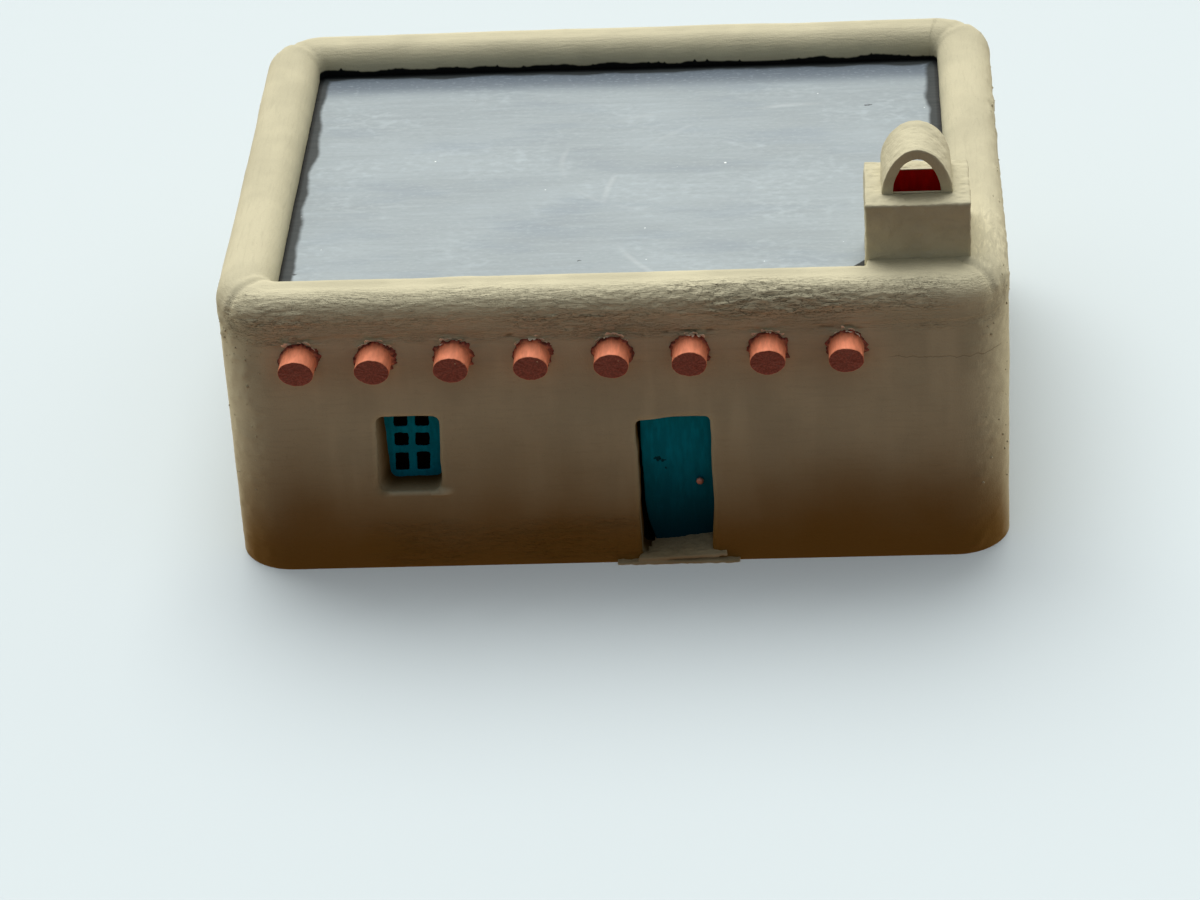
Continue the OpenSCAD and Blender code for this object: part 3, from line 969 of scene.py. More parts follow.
    def wrinkles(self, points, along, up, front):
        """Short level puckers in the paint, worst on the brow and at the foot of the front, with painted
        shade in their valleys and in a band just above the vigas.
        """
        x, _, z = points.T
        skin = np.column_stack([along, up])
        bend = up + 0.5 * noise(skin, (5.0, 3.0), 21) + 0.12 * noise(skin, (1.1, 1.0), 22)
        long = np.abs(flat_noise(along / 1.9, bend / 0.38, 31))
        short = np.abs(flat_noise(along / 0.8, bend / 0.22, 41))
        patch = ramp(noise(skin, (6.0, 2.6), 51), -0.45, 0.45)
        brow = band(z, CREST_Z - 2.1, CREST_Z - 0.45, 0.6)
        worst = band(x, INNER_X - 20.0, INNER_X - 2.0, 9.0)
        brow = brow * (0.40 + 0.60 * worst) * (0.45 + 0.55 * patch)
        under = 0.45 * band(z, CREST_Z - 4.2, CREST_Z - 2.4, 0.7) * (0.3 + 0.7 * patch)
        plain = 1 - 0.75 * ramp(x, INNER_X - 3.0, INNER_X + 1.0)
        brow, under = brow * plain, under * plain
        below_window = band(x, self.window_low[0] + 0.25, INNER_X - 29.0, 5.0)
        foot = 0.75 * band(z, 0.9, 4.4, 1.2) * below_window * (0.35 + 0.65 * patch)
        strength = np.clip((brow + under + foot) * front + 0.05 + 0.10 * patch, 0, 1)
        depth = self.walls.crack_depth / MM
        raised = strength * depth * (0.75 * (long - 0.35) + 0.8 * (short - 0.35))
        # Painted shade in the deepest valleys of the puckers.
        valley = (1 - ramp(long, 0.02, 0.10)) * ramp(strength, 0.25, 0.8)
        self.pucker = np.clip(1.25 * (brow + under) * front + 0.35 * foot * front, 0, 1)
        # Painted shade: a patchy darker band just above the vigas, under the parapet's roll.
        shade_over_vigas = band(z, VIGA_TOP + 0.1, VIGA_TOP + 0.9, 0.6) * front
        shade_over_vigas = shade_over_vigas * band(x, 1.0 - INNER_X, INNER_X - 10.0, 3.0)
        shade_over_vigas = shade_over_vigas * (0.35 + 0.65 * ramp(flat_noise(along / 2.6, up / 0.7, 55), -0.3, 0.5))
        return raised, np.maximum(0.22 * valley, 0.30 * shade_over_vigas)

    def roll_and_mitre(self, points, along, up, front):
        """The parapet stands a little proud of the wall, and its corners show a mitre."""
        x, y, z = points.T
        start = VIGA_TOP + 0.55 + 0.25 * flat_noise(along / 3.0, up, 111)
        over, back = np.abs(x) - INNER_X, np.abs(y) - INNER_Y
        proud = ramp(z, start, start + 0.5) * ramp(np.maximum(over, back), 2.5, 4.5)
        across, corner = over - back, np.minimum(over, back)
        high = ramp(z, CREST_Z - 3.0, CREST_Z - 1.0) * ramp(corner, -0.2, 0.8)
        groove = np.exp(-((across / 0.45) ** 2)) - 0.6 * np.exp(-(((across - 0.9) / 0.7) ** 2))
        return 0.13 * proud * (0.5 + 0.5 * front) - 0.13 * groove * high, 0 * z

    def viga_ruff(self, points, along, up, front):
        """Thick paint and torn fibres round each viga, with a sunk split over it that is darkened as painted
        shade.
        """
        x, _, z = points.T
        raised, dark = 0 * x, 0 * x
        for i, name in enumerate(VIGAS):
            low, high = box_mm(name)
            middle, radius = (low + high) / 2, (high[0] - low[0]) / 2
            reach = np.hypot(x - middle[0], z - middle[2]) - radius
            torn = flat_noise(x / 1.3, z / 0.4, 91 + i)
            above = ramp(z, middle[2] + radius * 0.5, middle[2] + radius)
            near = (1 - ramp(reach, 0.3, 1.5)) * (0.35 + 0.65 * above)
            raised = raised + near * (0.05 + 0.12 * torn)
            arc = middle[2] + radius + 0.42 + 0.12 * flat_noise(x / 0.8, 0 * x, 131 + i)
            split = np.exp(-(((z - arc) / 0.24) ** 2)) * band(x, low[0] - 0.5, high[0] + 0.3, 0.9)
            split = split * ramp(flat_noise(x / 0.8, z / 0.25, 151 + i), -0.5, 0.3)
            size = 0.5 + 0.5 * noise(np.array([[i * 1.7, 0.3, 0.0]]), 1.0, 141)[0]
            raised = raised - 0.16 * size * split
            # Painted shade inside the split.
            dark = np.maximum(dark, 0.75 * size * split)
        return raised * front, dark * front

    def sill(self, points, along, up, front):
        """A lip of paint under the window."""
        lip = self.under_window(points, 0.22, 0.05, 0.9, 0.1)
        return 0.34 * lip * front, 0 * lip

    def under_window(self, points, drop, rise, left, right):
        """1 near the window's foot, from drop below it to rise above it, and short of its sides."""
        x, _, z = points.T
        edge = self.window_low[2] + 0.02
        level = band(z, edge - drop, edge + rise, 0.3)
        return level * band(x, self.window_low[0] + left, self.window_high[0] - right, 1.2)

    def corner_wear(self, points):
        """1 along the upright corners and the right side's edge, where the paint is crumbly."""
        x, y, z = points.T
        turned = ramp(np.minimum(np.abs(x) - INNER_X, np.abs(y) - INNER_Y), 0.4, 2.2)
        edge = ramp(x, INNER_X + 3.4, INNER_X + 4.4) * band(z, CREST_Z - 4.5, CREST_Z - 0.9, 0.7)
        patch = 0.45 + 0.55 * ramp(noise(points, 4.0, 81), -0.2, 0.5)
        return np.maximum(turned, 0.8 * edge) * patch

    def build(self, materials):
        """Cuts the openings, weathers the skin and lines the openings."""
        height, width = self.points.shape[:2]
        points = self.points.reshape(-1, 3).copy()
        normals = self.normals.reshape(-1, 3)
        along, up = self.along.ravel().copy(), self.up.ravel()
        faces = self.faces()
        row, column = np.divmod(np.arange(height * width), width)
        start, end = self.front_columns
        on_front = (row < self.face_rows) & (column >= start) & (column <= end)
        kept = np.ones(len(faces), bool)
        sunk = np.zeros(len(points))
        arris = self.walls.arris / MM
        rims = []
        for opening in self.openings:
            x, z = points[:, 0], points[:, 2]
            gap = np.where(on_front, opening.distance(x, z), np.inf)
            centre = points[faces].mean(axis=1)
            inside = on_front[faces].all(axis=1) & (opening.distance(centre[:, 0], centre[:, 2]) < 0)
            kept &= ~inside
            rim = np.intersect1d(faces[inside], faces[~inside])
            points[rim, 0], points[rim, 2] = opening.snap(x[rim], z[rim])
            gap[rim] = 0
            rims.append((opening, rim))
            close = np.clip(1 - np.maximum(gap, 0) / arris, 0, 1)
            sunk = np.maximum(sunk, arris * (1 - np.sqrt(1 - close**2)))
        relief, crack_shade = self.relief(points, along, up)
        skin = (row > 0) & (row < self.skin_rows - 1)
        relief = np.where(skin, relief, 0)
        points = points + normals * (relief - sunk)[:, None]
        points[row == 0, 2] = 0
        grain = np.column_stack([along, up, np.zeros(len(up))])
        all_points, all_faces, slots = [points], [faces[kept].tolist()], [0] * int(kept.sum())
        pucker = self.pucker * skin
        extra = {"grain": [grain], "crack_shade": [crack_shade * skin], "dirt_and_shade": [self.dirt_and_shade(points)], "pucker": [pucker]}
        total = len(points)
        for opening, rim in rims:
            lining, lining_faces, dark = self.line(opening, rim, faces[kept], points, total)
            all_points.append(lining)
            all_faces.append(lining_faces)
            slots += dark
            extra["grain"].append(lining)
            # Painted shade deep in the openings: darker towards the back and the foot, and browner further
            # in.
            inward = (lining[:, 1] - FRONT_Y) / (opening.low[1] - FRONT_Y)
            deep, low_down = np.clip(inward, 0, 1), 1 - ramp(opening.share_up(lining[:, 2]), 0.0, 0.35)
            extra["crack_shade"].append(deep * (0.25 * deep + 0.7 * low_down))
            extra["dirt_and_shade"].append(np.clip(0.30 + 0.55 * inward, 0, 1.1))
            extra["pucker"].append(np.zeros(len(lining)))
            total += len(lining)
        return build_mesh(
            "house_walls",
            np.concatenate(all_points),
            [face for group in all_faces for face in group],
            materials,
            {key: np.concatenate(values) for key, values in extra.items()},
            slots,
        )

    def dirt_and_shade(self, points):
        """How much brown goes on towards the ground, from 0 to 1: some dirt, and painted shade that is
        strongest on the front and is kept off the window sill's lip.
        """
        _, y, z = points.T
        spread = 1.8 * layered(points, 7.0, 101, 2)
        # Painted shade: the front, which faces away from the light, takes more of it.
        front = 0.45 + 0.55 * ramp(-y, INNER_Y, INNER_Y + 4.0)
        # The sill's lip is kept clear of the painted shade, so that it reads as lit.
        shade_off_lip = 1 - 0.9 * self.under_window(points, 0.2, 0.15, 1.2, 0.2) * (y < FRONT_Y + 0.5)
        return (1 - ramp(z + spread, -3.0, 20.5)) * front * shade_off_lip

    def line(self, opening, rim, faces, points, first):
        """The jambs, sill and head of an opening, closed at the back."""
        depth = opening.high[1] + 0.9 - (FRONT_Y + self.walls.arris / MM)
        paint_depth = opening.low[1] - FRONT_Y
        rings = 12
        order = {number: i for i, number in enumerate(rim)}
        touching = faces[np.isin(faces, rim).any(axis=1)]
        seen = {
            (a, b)
            for face in touching.tolist()
            for a, b in zip(face, face[1:] + face[:1])
            if a in order and b in order
        }
        edges = [(a, b) for a, b in sorted(seen) if (b, a) not in seen]
        base = points[rim]
        made = []
        for ring in range(1, rings + 1):
            moved = base.copy()
            travel = depth * ring / rings
            closing = min(1, travel / paint_depth)
            moved[:, 1] += travel
            moved[:, 0] += closing * opening.jamb_shift(base[:, 0], base[:, 2])
            moved[:, (0, 2)] += 0.05 * closing * noise(moved, 0.9, opening.seed + 7)[:, None]
            made.append(moved)
        made.append(made[-1].mean(axis=0)[None])
        lining = np.concatenate(made)
        count = len(rim)
        hub = first + count * rings

        def number(ring, vertex):
            return vertex if ring == 0 else first + (ring - 1) * count + order[vertex]

        lining_faces, dark = [], []
        for ring in range(rings):
            # Faces behind the paint get the near-black painted shade.
            is_dark = depth * (ring + 0.5) / rings > paint_depth
            for a, b in edges:
                outer, inner = (number(ring, b), number(ring, a)), (number(ring + 1, a), number(ring + 1, b))
                lining_faces.append([*outer, *inner])
                dark.append(int(is_dark))
        for a, b in edges:
            lining_faces.append([number(rings, b), number(rings, a), hub])
            dark.append(1)
        return lining, lining_faces, dark


class ADOBE_OT_walls(bpy.types.Operator):
    """Build the walls and the parapet as one weathered skin with a window and a doorway"""

    bl_idname = "adobe.walls"
    bl_label = "Walls and parapet"

    def execute(self, context):
        walls, cut = context.scene.adobe_walls, context.scene.adobe_openings
        low, high = box_mm("window_board")
        window = Opening(
            low - np.array([0.26, 0, 0.0]),
            high - np.array([0.15, 0, 0.2]),
            0.7,
            (cut.window_splay / MM, 2.2 * cut.window_splay / MM),
            lean=cut.window_lean / MM,
            seed=5,
        )
        low, high = box_mm("door_panel")
        doorway = Opening(
            np.array([low[0] - 0.42, low[1], box_mm("threshold")[0][2] + 0.35]),
            high - np.array([0.05, 0, 0.02]),
            0.5,
            (0.0, 0.12),
            pinch=cut.doorway_pinch / MM,
            droop=cut.head_droop / MM,
            seed=9,
        )
        shell = Shell(walls, [window, doorway])
        piece = shell.build([khaki_paint("wall_paint", walls, weathered_and_shaded=True), shadow_finish()])
        sides = ("front", "back", "left", "right")
        place(piece, "wall_paint", *(f"{side}_{part}" for side in sides for part in ("wall", "parapet")))
        self.crumbs(shell, khaki_paint("crumb_paint", walls))
        return {"FINISHED"}

    def crumbs(self, shell, paint):
        """Small lumps of paint stuck along the outer edges."""
        rng = np.random.default_rng(11)
        count = shell.skin_rows * shell.points.shape[1]
        points = shell.points.reshape(-1, 3)[:count]
        normals = shell.normals.reshape(-1, 3)[:count]
        share = shell.corner_wear(points) * ramp(points[:, 2], 3.0, 9.0) * (normals[:, 2] < 0.85)
        share = share * ((np.abs(points[:, :2]) - shell.inner).max(axis=1) > 3.5)
        bm = bmesh.new()
        for spot in rng.choice(count, 190, replace=False, p=share / share.sum()):
            size = rng.uniform(0.03, 0.12)
            made = bmesh.ops.create_icosphere(bm, subdivisions=2, radius=size)["verts"]
            stretch = rng.uniform(0.6, 1.5, 3)
            for vertex in made:
                vertex.co = Vector(points[spot]) + Vector(np.array(vertex.co) * stretch)
        corners = np.array([vertex.co for vertex in bm.verts])
        corners += 0.05 * np.column_stack([noise(corners, 0.12, seed) for seed in (161, 162, 163)])
        faces = [[vertex.index for vertex in face.verts] for face in bm.faces]
        bm.free()
        place(build_mesh("paint_crumbs", corners, faces, [paint]), "wall_paint")


# ---------------------------------------------------------------- roof


class ADOBE_OT_roof(bpy.types.Operator):
    """Build the scuffed slate board inside the parapet"""

    bl_idname = "adobe.roof"
    bl_label = "Roof board"

    def execute(self, context):
        roof = context.scene.adobe_roof
        low, high = box_mm("roof_board")
        step = roof.step / MM
        counts = np.ceil((high - low)[:2] / step).astype(int)
        xs = np.linspace(low[0], high[0], counts[0] + 1)
        ys = np.linspace(low[1], high[1], counts[1] + 1)
        grid_x, grid_y = np.meshgrid(xs, ys, indexing="xy")
        flat = np.column_stack([grid_x.ravel(), grid_y.ravel(), np.full(grid_x.size, high[2])])
        bumps = 0.05 * layered(flat, 9.0, 201, 2) + 0.012 * noise(flat, (3.0, 0.6, 1.0), 205)
        grit = np.maximum(noise(flat, 0.8, 207) - 0.82, 0)
        flat[:, 2] += bumps + 0.35 * grit
        width, depth = len(xs), len(ys)
        faces = [
            [j * width + i, j * width + i + 1, (j + 1) * width + i + 1, (j + 1) * width + i]
            for j in range(depth - 1)
            for i in range(width - 1)
        ]
        loop = [*range(width), *(j * width + width - 1 for j in range(1, depth))]
        loop += [(depth - 1) * width + i for i in range(width - 2, -1, -1)]
        loop += [j * width for j in range(depth - 2, 0, -1)]
        skirt = flat[loop].copy()
        skirt[:, 2] = low[2]
        first, count = len(flat), len(loop)
        for i in range(count):
            j = (i + 1) % count
            faces.append([loop[j], loop[i], first + i, first + j])
        faces.append([first + i for i in range(count - 1, -1, -1)])
        piece = build_mesh("roof_board_scuffed", np.concatenate([flat, skirt]), faces, [slate_finish(roof)])
        place(piece, "roof_slate", "roof_board")
        return {"FINISHED"}


# ---------------------------------------------------------------- vigas


def lathe_faces(rows, columns, first=0):
    """Quads between rows of points that close on themselves."""
    faces = []
    for row in range(rows - 1):
        for column in range(columns):
            beside = (column + 1) % columns
            base, above = first + row * columns, first + (row + 1) * columns
            faces.append([base + column, base + beside, above + beside, above + column])
    return faces


def viga_mesh(low, high, settings, seed, lean):
    """Points, faces and attributes of one viga with its ragged collar at the wall."""
    columns, side_rows, end_rows = 96, 26, 9
    centre = (low + high) / 2
    radius = (high[0] - low[0]) / 2
    tip, root = low[1], FRONT_Y + 1.5
    slope = math.tan(settings.end_slope)
    angle = np.arange(columns) * FULL_TURN / columns
    ring = np.column_stack([np.cos(angle), np.sin(angle)])
    seeded = np.column_stack([ring, np.full(columns, seed * 3.7)])
    oval = 1 + 0.02 * noise(seeded, 1.4, seed)
    set_back = slope * (1 - ring[:, 1]) * radius
    ragged = 0.05 * noise(seeded, 0.16, seed + 40) + 0.06 * noise(seeded, 0.8, seed + 41)
    end_y = tip + set_back + ragged
    right = np.maximum(0, ring @ np.array([math.cos(0.1), math.sin(0.1)]))
    jagged = np.maximum(noise(seeded, 0.22, seed + 42) + 0.4 * noise(seeded, 0.09, seed + 46), -0.4)
    left = np.maximum(0, -ring[:, 0]) ** 2
    flare = settings.collar / MM * (0.40 + 0.75 * right**2 + 0.35 * left) * (0.7 + 0.8 * jagged)
    stand = 0.22 + 0.15 * noise(seeded, 0.3, seed + 43)
    rows, sawn, filler = [], [], []
    for i in range(side_rows):
        share = i / (side_rows - 1)
        y = root + (end_y - root) * share
        out = FRONT_Y - y
        swell = flare * (1 - ramp(out, stand * 0.6, stand + 0.12))
        rough = 0.012 * noise(np.column_stack([ring * 2, y]), (0.5, 0.5, 2.0), seed + 44)
        size = radius * oval * (1 - 0.01 * share) + swell + rough
        rows.append(np.column_stack([
            centre[0] + ring[:, 0] * size + lean * share,
            y,
            centre[2] + ring[:, 1] * size,
        ]))
        sawn.append(np.zeros(columns))
        filler.append(1 - ramp(out, stand, stand + 0.2))
    edge = rows[-1]
    hub = np.array([centre[0] + lean, tip + slope * radius, centre[2]])
    for i in range(1, end_rows):
        share = 1 - i / end_rows
        inset = hub + (edge - hub) * (share if i > 1 else 0.975)
        inset[:, 1] += 0.025 * noise(inset, 0.35, seed + 45) + 0.02 * (i > 1) - 0.01
        rows.append(inset)
        sawn.append(np.ones(columns))
        filler.append(np.zeros(columns))
    points = np.concatenate(rows + [hub[None]])
    faces = lathe_faces(len(rows), columns)
    last, middle = (len(rows) - 1) * columns, len(points) - 1
    faces += [[last + i, last + (i + 1) % columns, middle] for i in range(columns)]
    faces.append([*range(columns - 1, -1, -1)])
    attributes = {
        "sawn": np.append(np.concatenate(sawn), 1),
        "filler": np.append(np.concatenate(filler), 0),
    }
    return points, faces, attributes


def flake_mesh(rng, centre, radius):
    """One curled shard of torn paint, standing on the wall at the edge of a viga."""
    angle = math.radians(rng.uniform(40, 140))
    spot = np.array([math.cos(angle), 0, math.sin(angle)])
    side = np.array([-math.sin(angle), 0, math.cos(angle)])
    root = centre + spot * (radius + rng.uniform(0.08, 0.26))
    root[1] = FRONT_Y + 0.1
    reach, width, thick = rng.uniform(0.42, 0.80), rng.uniform(0.3, 0.8), 0.08
    outward = np.array([0, -1, 0]) + spot * rng.uniform(-0.1, 0.8)
    across, deep = 5, 5
    ragged = rng.uniform(0.55, 1.0, across)
    points = []
    for layer in (0.5, -0.5):
        for j in range(deep):
            for i in range(across):
                share, over = j / (deep - 1), i / (across - 1) - 0.5
                taper = 1 - 0.55 * share**2
                curl = 0.12 * share**2 - 0.10 * over**2
                points.append(
                    root
                    + outward * (reach + 0.1) * share * ragged[i]
                    + side * width * over * taper
                    + spot * (curl + layer * thick * (1 - 0.75 * share))
                )
    faces, size = [], across * deep
    for j in range(deep - 1):
        for i in range(across - 1):
            a = j * across + i
            faces.append([a, a + 1, a + across + 1, a + across])
            faces.append([size + a + across, size + a + across + 1, size + a + 1, size + a])
    rim = [*range(across), *(j * across + across - 1 for j in range(1, deep))]
    rim += [size - 1 - i for i in range(1, across)]
    rim += [j * across for j in range(deep - 2, 0, -1)]
    for a, b in zip(rim, rim[1:] + rim[:1]):
        faces.append([b, a, size + a, size + b])
    return np.array(points), faces


class ADOBE_OT_vigas(bpy.types.Operator):
    """Build the round beam ends, each with its sawn end, ragged collar and torn paint"""

    bl_idname = "adobe.vigas"
    bl_label = "Vigas"

    def execute(self, context):
        settings = context.scene.adobe_vigas
        finish = viga_finish(settings)
        boxes = []
        for i, name in enumerate(VIGAS):
            low, high = box_mm(name)
            drift = np.array([VIGA_DRIFTS[i % len(VIGA_DRIFTS)], 0, 0])
            boxes.append((low + drift, high + drift))
            points, faces, attributes = viga_mesh(*boxes[-1], settings, 301 + 7 * i, 0.4 * drift[0])
            piece = build_mesh(name + "_stained", points, faces, [finish], attributes)
            place(piece, "viga_paint", name)
        self.torn_paint(boxes, torn_finish(context.scene.adobe_walls))
        return {"FINISHED"}

    def torn_paint(self, boxes, paint):
        """Shards of wall paint that stand up over the vigas."""
        rng = np.random.default_rng(5)
        all_points, all_faces, count = [], [], 0
        for low, high in boxes:
            for _ in range(rng.integers(5, 11)):
                points, faces = flake_mesh(rng, (low + high) / 2, (high[0] - low[0]) / 2)
                all_points.append(points)
                all_faces += [[corner + count for corner in face] for face in faces]
                count += len(points)
        place(build_mesh("torn_paint_flakes", np.concatenate(all_points), all_faces, [paint]), "wall_paint")


# ---------------------------------------------------------------- window and door


class ADOBE_OT_window(bpy.types.Operator):
    """Build the painted window board with its six panes, and the dark glazing behind it"""

    bl_idname = "adobe.window"
    bl_label = "Window"

    def execute(self, context):
        cut = context.scene.adobe_openings
        low, high = box_mm("window_board")
        middle = (low[0] + high[0]) / 2
        pane_w, bar_w, bar_h = cut.pane_w / MM, cut.bar_w / MM, cut.bar_h / MM
        foot = low[2] + cut.pane_foot / MM
        pane_left, pane_right = middle - bar_w / 2 - pane_w, middle + bar_w / 2 + pane_w
        rows, start = [], foot
        for height in (cut.low_pane_h / MM, cut.pane_h / MM, cut.pane_h / MM):
            rows.append((start, start + height))
            start += height + bar_h
        tilt = self.shear(cut.board_tilt, low)
        self.board(cut, low, high, (pane_left, pane_right), rows, tilt)
        self.glazing(low, (pane_left, middle, pane_right), bar_w, rows, tilt)
        return {"FINISHED"}

    def shear(self, tilt, low):
        """Leans the board to the right as it rises, about a level near its head."""
        still = low[2] + 7.0
        matrix = Matrix.Identity(4)
        matrix[0][2] = tilt
        matrix[0][3] = -tilt * still
        return matrix

    def board(self, cut, low, high, sides, rows, tilt):
        """Stiles, rails and bars of one cut board."""
        bed = 0.35
        left, right, top = low[0] - bed, high[0] + bed, high[2] + bed
        middle, bar_w = (sides[0] + sides[1]) / 2, cut.bar_w / MM
        bm = bmesh.new()
        add_box(bm, (left, low[1], low[2] - bed), (sides[0], high[1], top))
        add_box(bm, (sides[1], low[1], low[2] - bed), (right, high[1], top))
        add_box(bm, (middle - bar_w / 2, low[1] + 0.02, low[2]), (middle + bar_w / 2, high[1], top))
        add_box(bm, (left, low[1], low[2] - bed), (right, high[1], rows[0][0]))
        for below, above in zip(rows, rows[1:]):
            add_box(bm, (left, low[1] + 0.02, below[1]), (right, high[1], above[0]))
        add_box(bm, (left, low[1], rows[-1][1]), (right, high[1], top))
        bm.transform(tilt)
        lumps = [(0.9, 0.05), (0.35, 0.035)]
        piece = moulded("window_board_painted", bm, 0.07, 4, lumps, 401, [teal_finish(cut, "window_teal")])
        place(piece, "teal_paint", "window_board")

    def glazing(self, low, columns, bar_w, rows, tilt):
        """A dark sheet that fills each pane almost to the face of the board."""
        left, middle, right = columns
        back = box_mm("window_glazing")
        bm = bmesh.new()
        add_box(bm, (back[0][0], low[1] + 0.6, back[0][2]), (back[1][0], back[1][1], back[1][2]))
        for start, end in rows:
            for a, b in ((left, middle - bar_w / 2), (middle + bar_w / 2, right)):
                add_box(bm, (a - 0.12, low[1] + 0.14, start - 0.12), (b + 0.12, back[1][1], end + 0.12))
        bm.transform(tilt)
        piece = moulded("window_panes", bm, 0.09, 2, [(0.7, 0.02)], 421, [glazing_finish()])
        place(piece, "dark_glazing", "window_glazing")


class ADOBE_OT_door(bpy.types.Operator):
    """Build the plain painted door, its knob and the threshold in front of it"""

    bl_idname = "adobe.door"
    bl_label = "Door, knob and threshold"

    def execute(self, context):
        cut, walls = context.scene.adobe_openings, context.scene.adobe_walls
        self.door(cut)
        self.knob(cut)
        self.threshold(walls)
        return {"FINISHED"}

    def door(self, cut):
        """A slab whose left edge leaves a widening gap towards the foot."""
        low, high = box_mm("door_panel")
        gap = cut.door_gap / MM
        round_r = 0.6
        outline = [(low[0] + 2.4 * gap, low[2] - 0.3), (high[0] + 0.1, low[2] - 0.3)]
        for i in range(7):
            angle = math.pi / 2 * i / 6
            outline.append((
                high[0] + 0.1 - round_r * (1 - math.cos(angle)),
                high[2] - round_r * (1 - math.sin(angle)),
            ))
        outline += [(low[0], high[2]), (low[0] - 0.15, high[2] - 0.4), (low[0] - 0.08, low[2] + 7.0)]
        outline += [(low[0] - 0.05, low[2] + 3.8), (low[0] + 0.5 * gap, low[2] + 1.9)]
        bm = bmesh.new()
        add_prism(bm, *([(x, y, z) for x, z in outline] for y in (low[1], high[1])))
        lumps = [(3.5, 0.07), (0.9, 0.03), (0.35, 0.012)]
        piece = moulded("door_painted", bm, 0.09, 3, lumps, 431, [teal_finish(cut, "door_teal")])
        place(piece, "teal_paint", "door_panel")

    def knob(self, cut):
        """A pin with a domed head, seated in the door."""
        low, high = box_mm("door_knob")
        radius = (high[0] - low[0]) / 2
        centre_x, centre_z = (low[0] + high[0]) / 2, (low[2] + high[2]) / 2
        face = box_mm("door_panel")[0][1]
        turns = np.linspace(0.12, math.pi / 2, 8)
        profile = [(radius * math.sin(turn), face - 0.28 - 0.22 * math.cos(turn)) for turn in turns]
        profile += [(radius * 0.97, face - 0.16), (radius * 0.7, face - 0.10), (radius * 0.55, face + 0.3)]
        columns = 40
        angle = np.arange(columns) * FULL_TURN / columns
        ring = np.column_stack([np.cos(angle), np.sin(angle)])
        rows = []
        for size, y in profile:
            uneven = 1 + 0.04 * noise(np.column_stack([ring, np.full(columns, y)]), 0.8, 441)
            rows.append(np.column_stack([
                centre_x + size * uneven * ring[:, 0],
                np.full(columns, y),
                centre_z + size * uneven * ring[:, 1],
            ]))
        points = np.concatenate(rows)
        faces = [quad[::-1] for quad in lathe_faces(len(rows), columns)]
        faces.append(list(range(columns)))
        faces.append(list(range(len(points) - 1, len(points) - 1 - columns, -1)))
        place(build_mesh("knob_domed", points, faces, [copper_finish(cut)]), "copper_pin", "door_knob")

    def threshold(self, walls):
        """Uneven filling in the foot of the doorway, with a lip and a low ledge before it."""
        low, high = box_mm("threshold")
        door_face, wall_face = box_mm("door_panel")[0][1], low[1]
        left, right = low[0] - 0.1, high[0] + 0.1
        bm = bmesh.new()
        steps, lap = 24, 0.05

        def strip(x_start, x_end, corners):
            """A bar along x whose outline in y and z changes with the share of its length."""
            for i in range(steps):
                a, b = (x_start + (x_end - x_start) * (i + k) / steps for k in (0, 1))
                outline = corners((i + 0.5) / steps)
                add_prism(bm, *([(x, y, z) for y, z in outline] for x in (a - lap, b + lap)))

        def filling(share):
            """The step up to the door, which leaves a hole beside the left jamb."""
            depth = door_face + 0.5 - wall_face
            back = wall_face + depth * min(1, 0.1 + share / 0.16)
            rise = 0.10 + 0.14 * share
            return [
                (wall_face - 0.05, 0.05),
                (back, 0.05),
                (back, 0.62 + 0.48 * share + rise * (back - wall_face) / depth),
                (wall_face - 0.05, 0.62 + 0.48 * share),
            ]

        strip(left, right, filling)
        strip(left - 0.5, right + 0.8, lambda share: [
            (wall_face - 0.42, 0.30 + 0.36 * share),
            (wall_face + 0.4, 0.18 + 0.40 * share),
            (wall_face + 0.4, 0.66 + 0.48 * share),
            (wall_face - 0.42, 0.60 + 0.36 * share),
        ])
        strip(left - 2.5, right + 2.0, lambda share: [
            (wall_face - 0.55, 0.02),
            (wall_face + 0.4, 0.02),
            (wall_face + 0.4, 0.34),
            (wall_face - 0.55, 0.22),
        ])
        lumps = [(1.6, 0.09), (0.6, 0.05), (0.25, 0.03)]
        paint = khaki_paint("threshold_paint", walls, dirt=0.45)
        piece = moulded("threshold_filled", bm, 0.085, 3, lumps, 461, [paint])
        for vertex in piece.data.vertices:
            vertex.co.z = max(vertex.co.z, 0)
        place(piece, "wall_paint", "threshold")


# ---------------------------------------------------------------- chimney


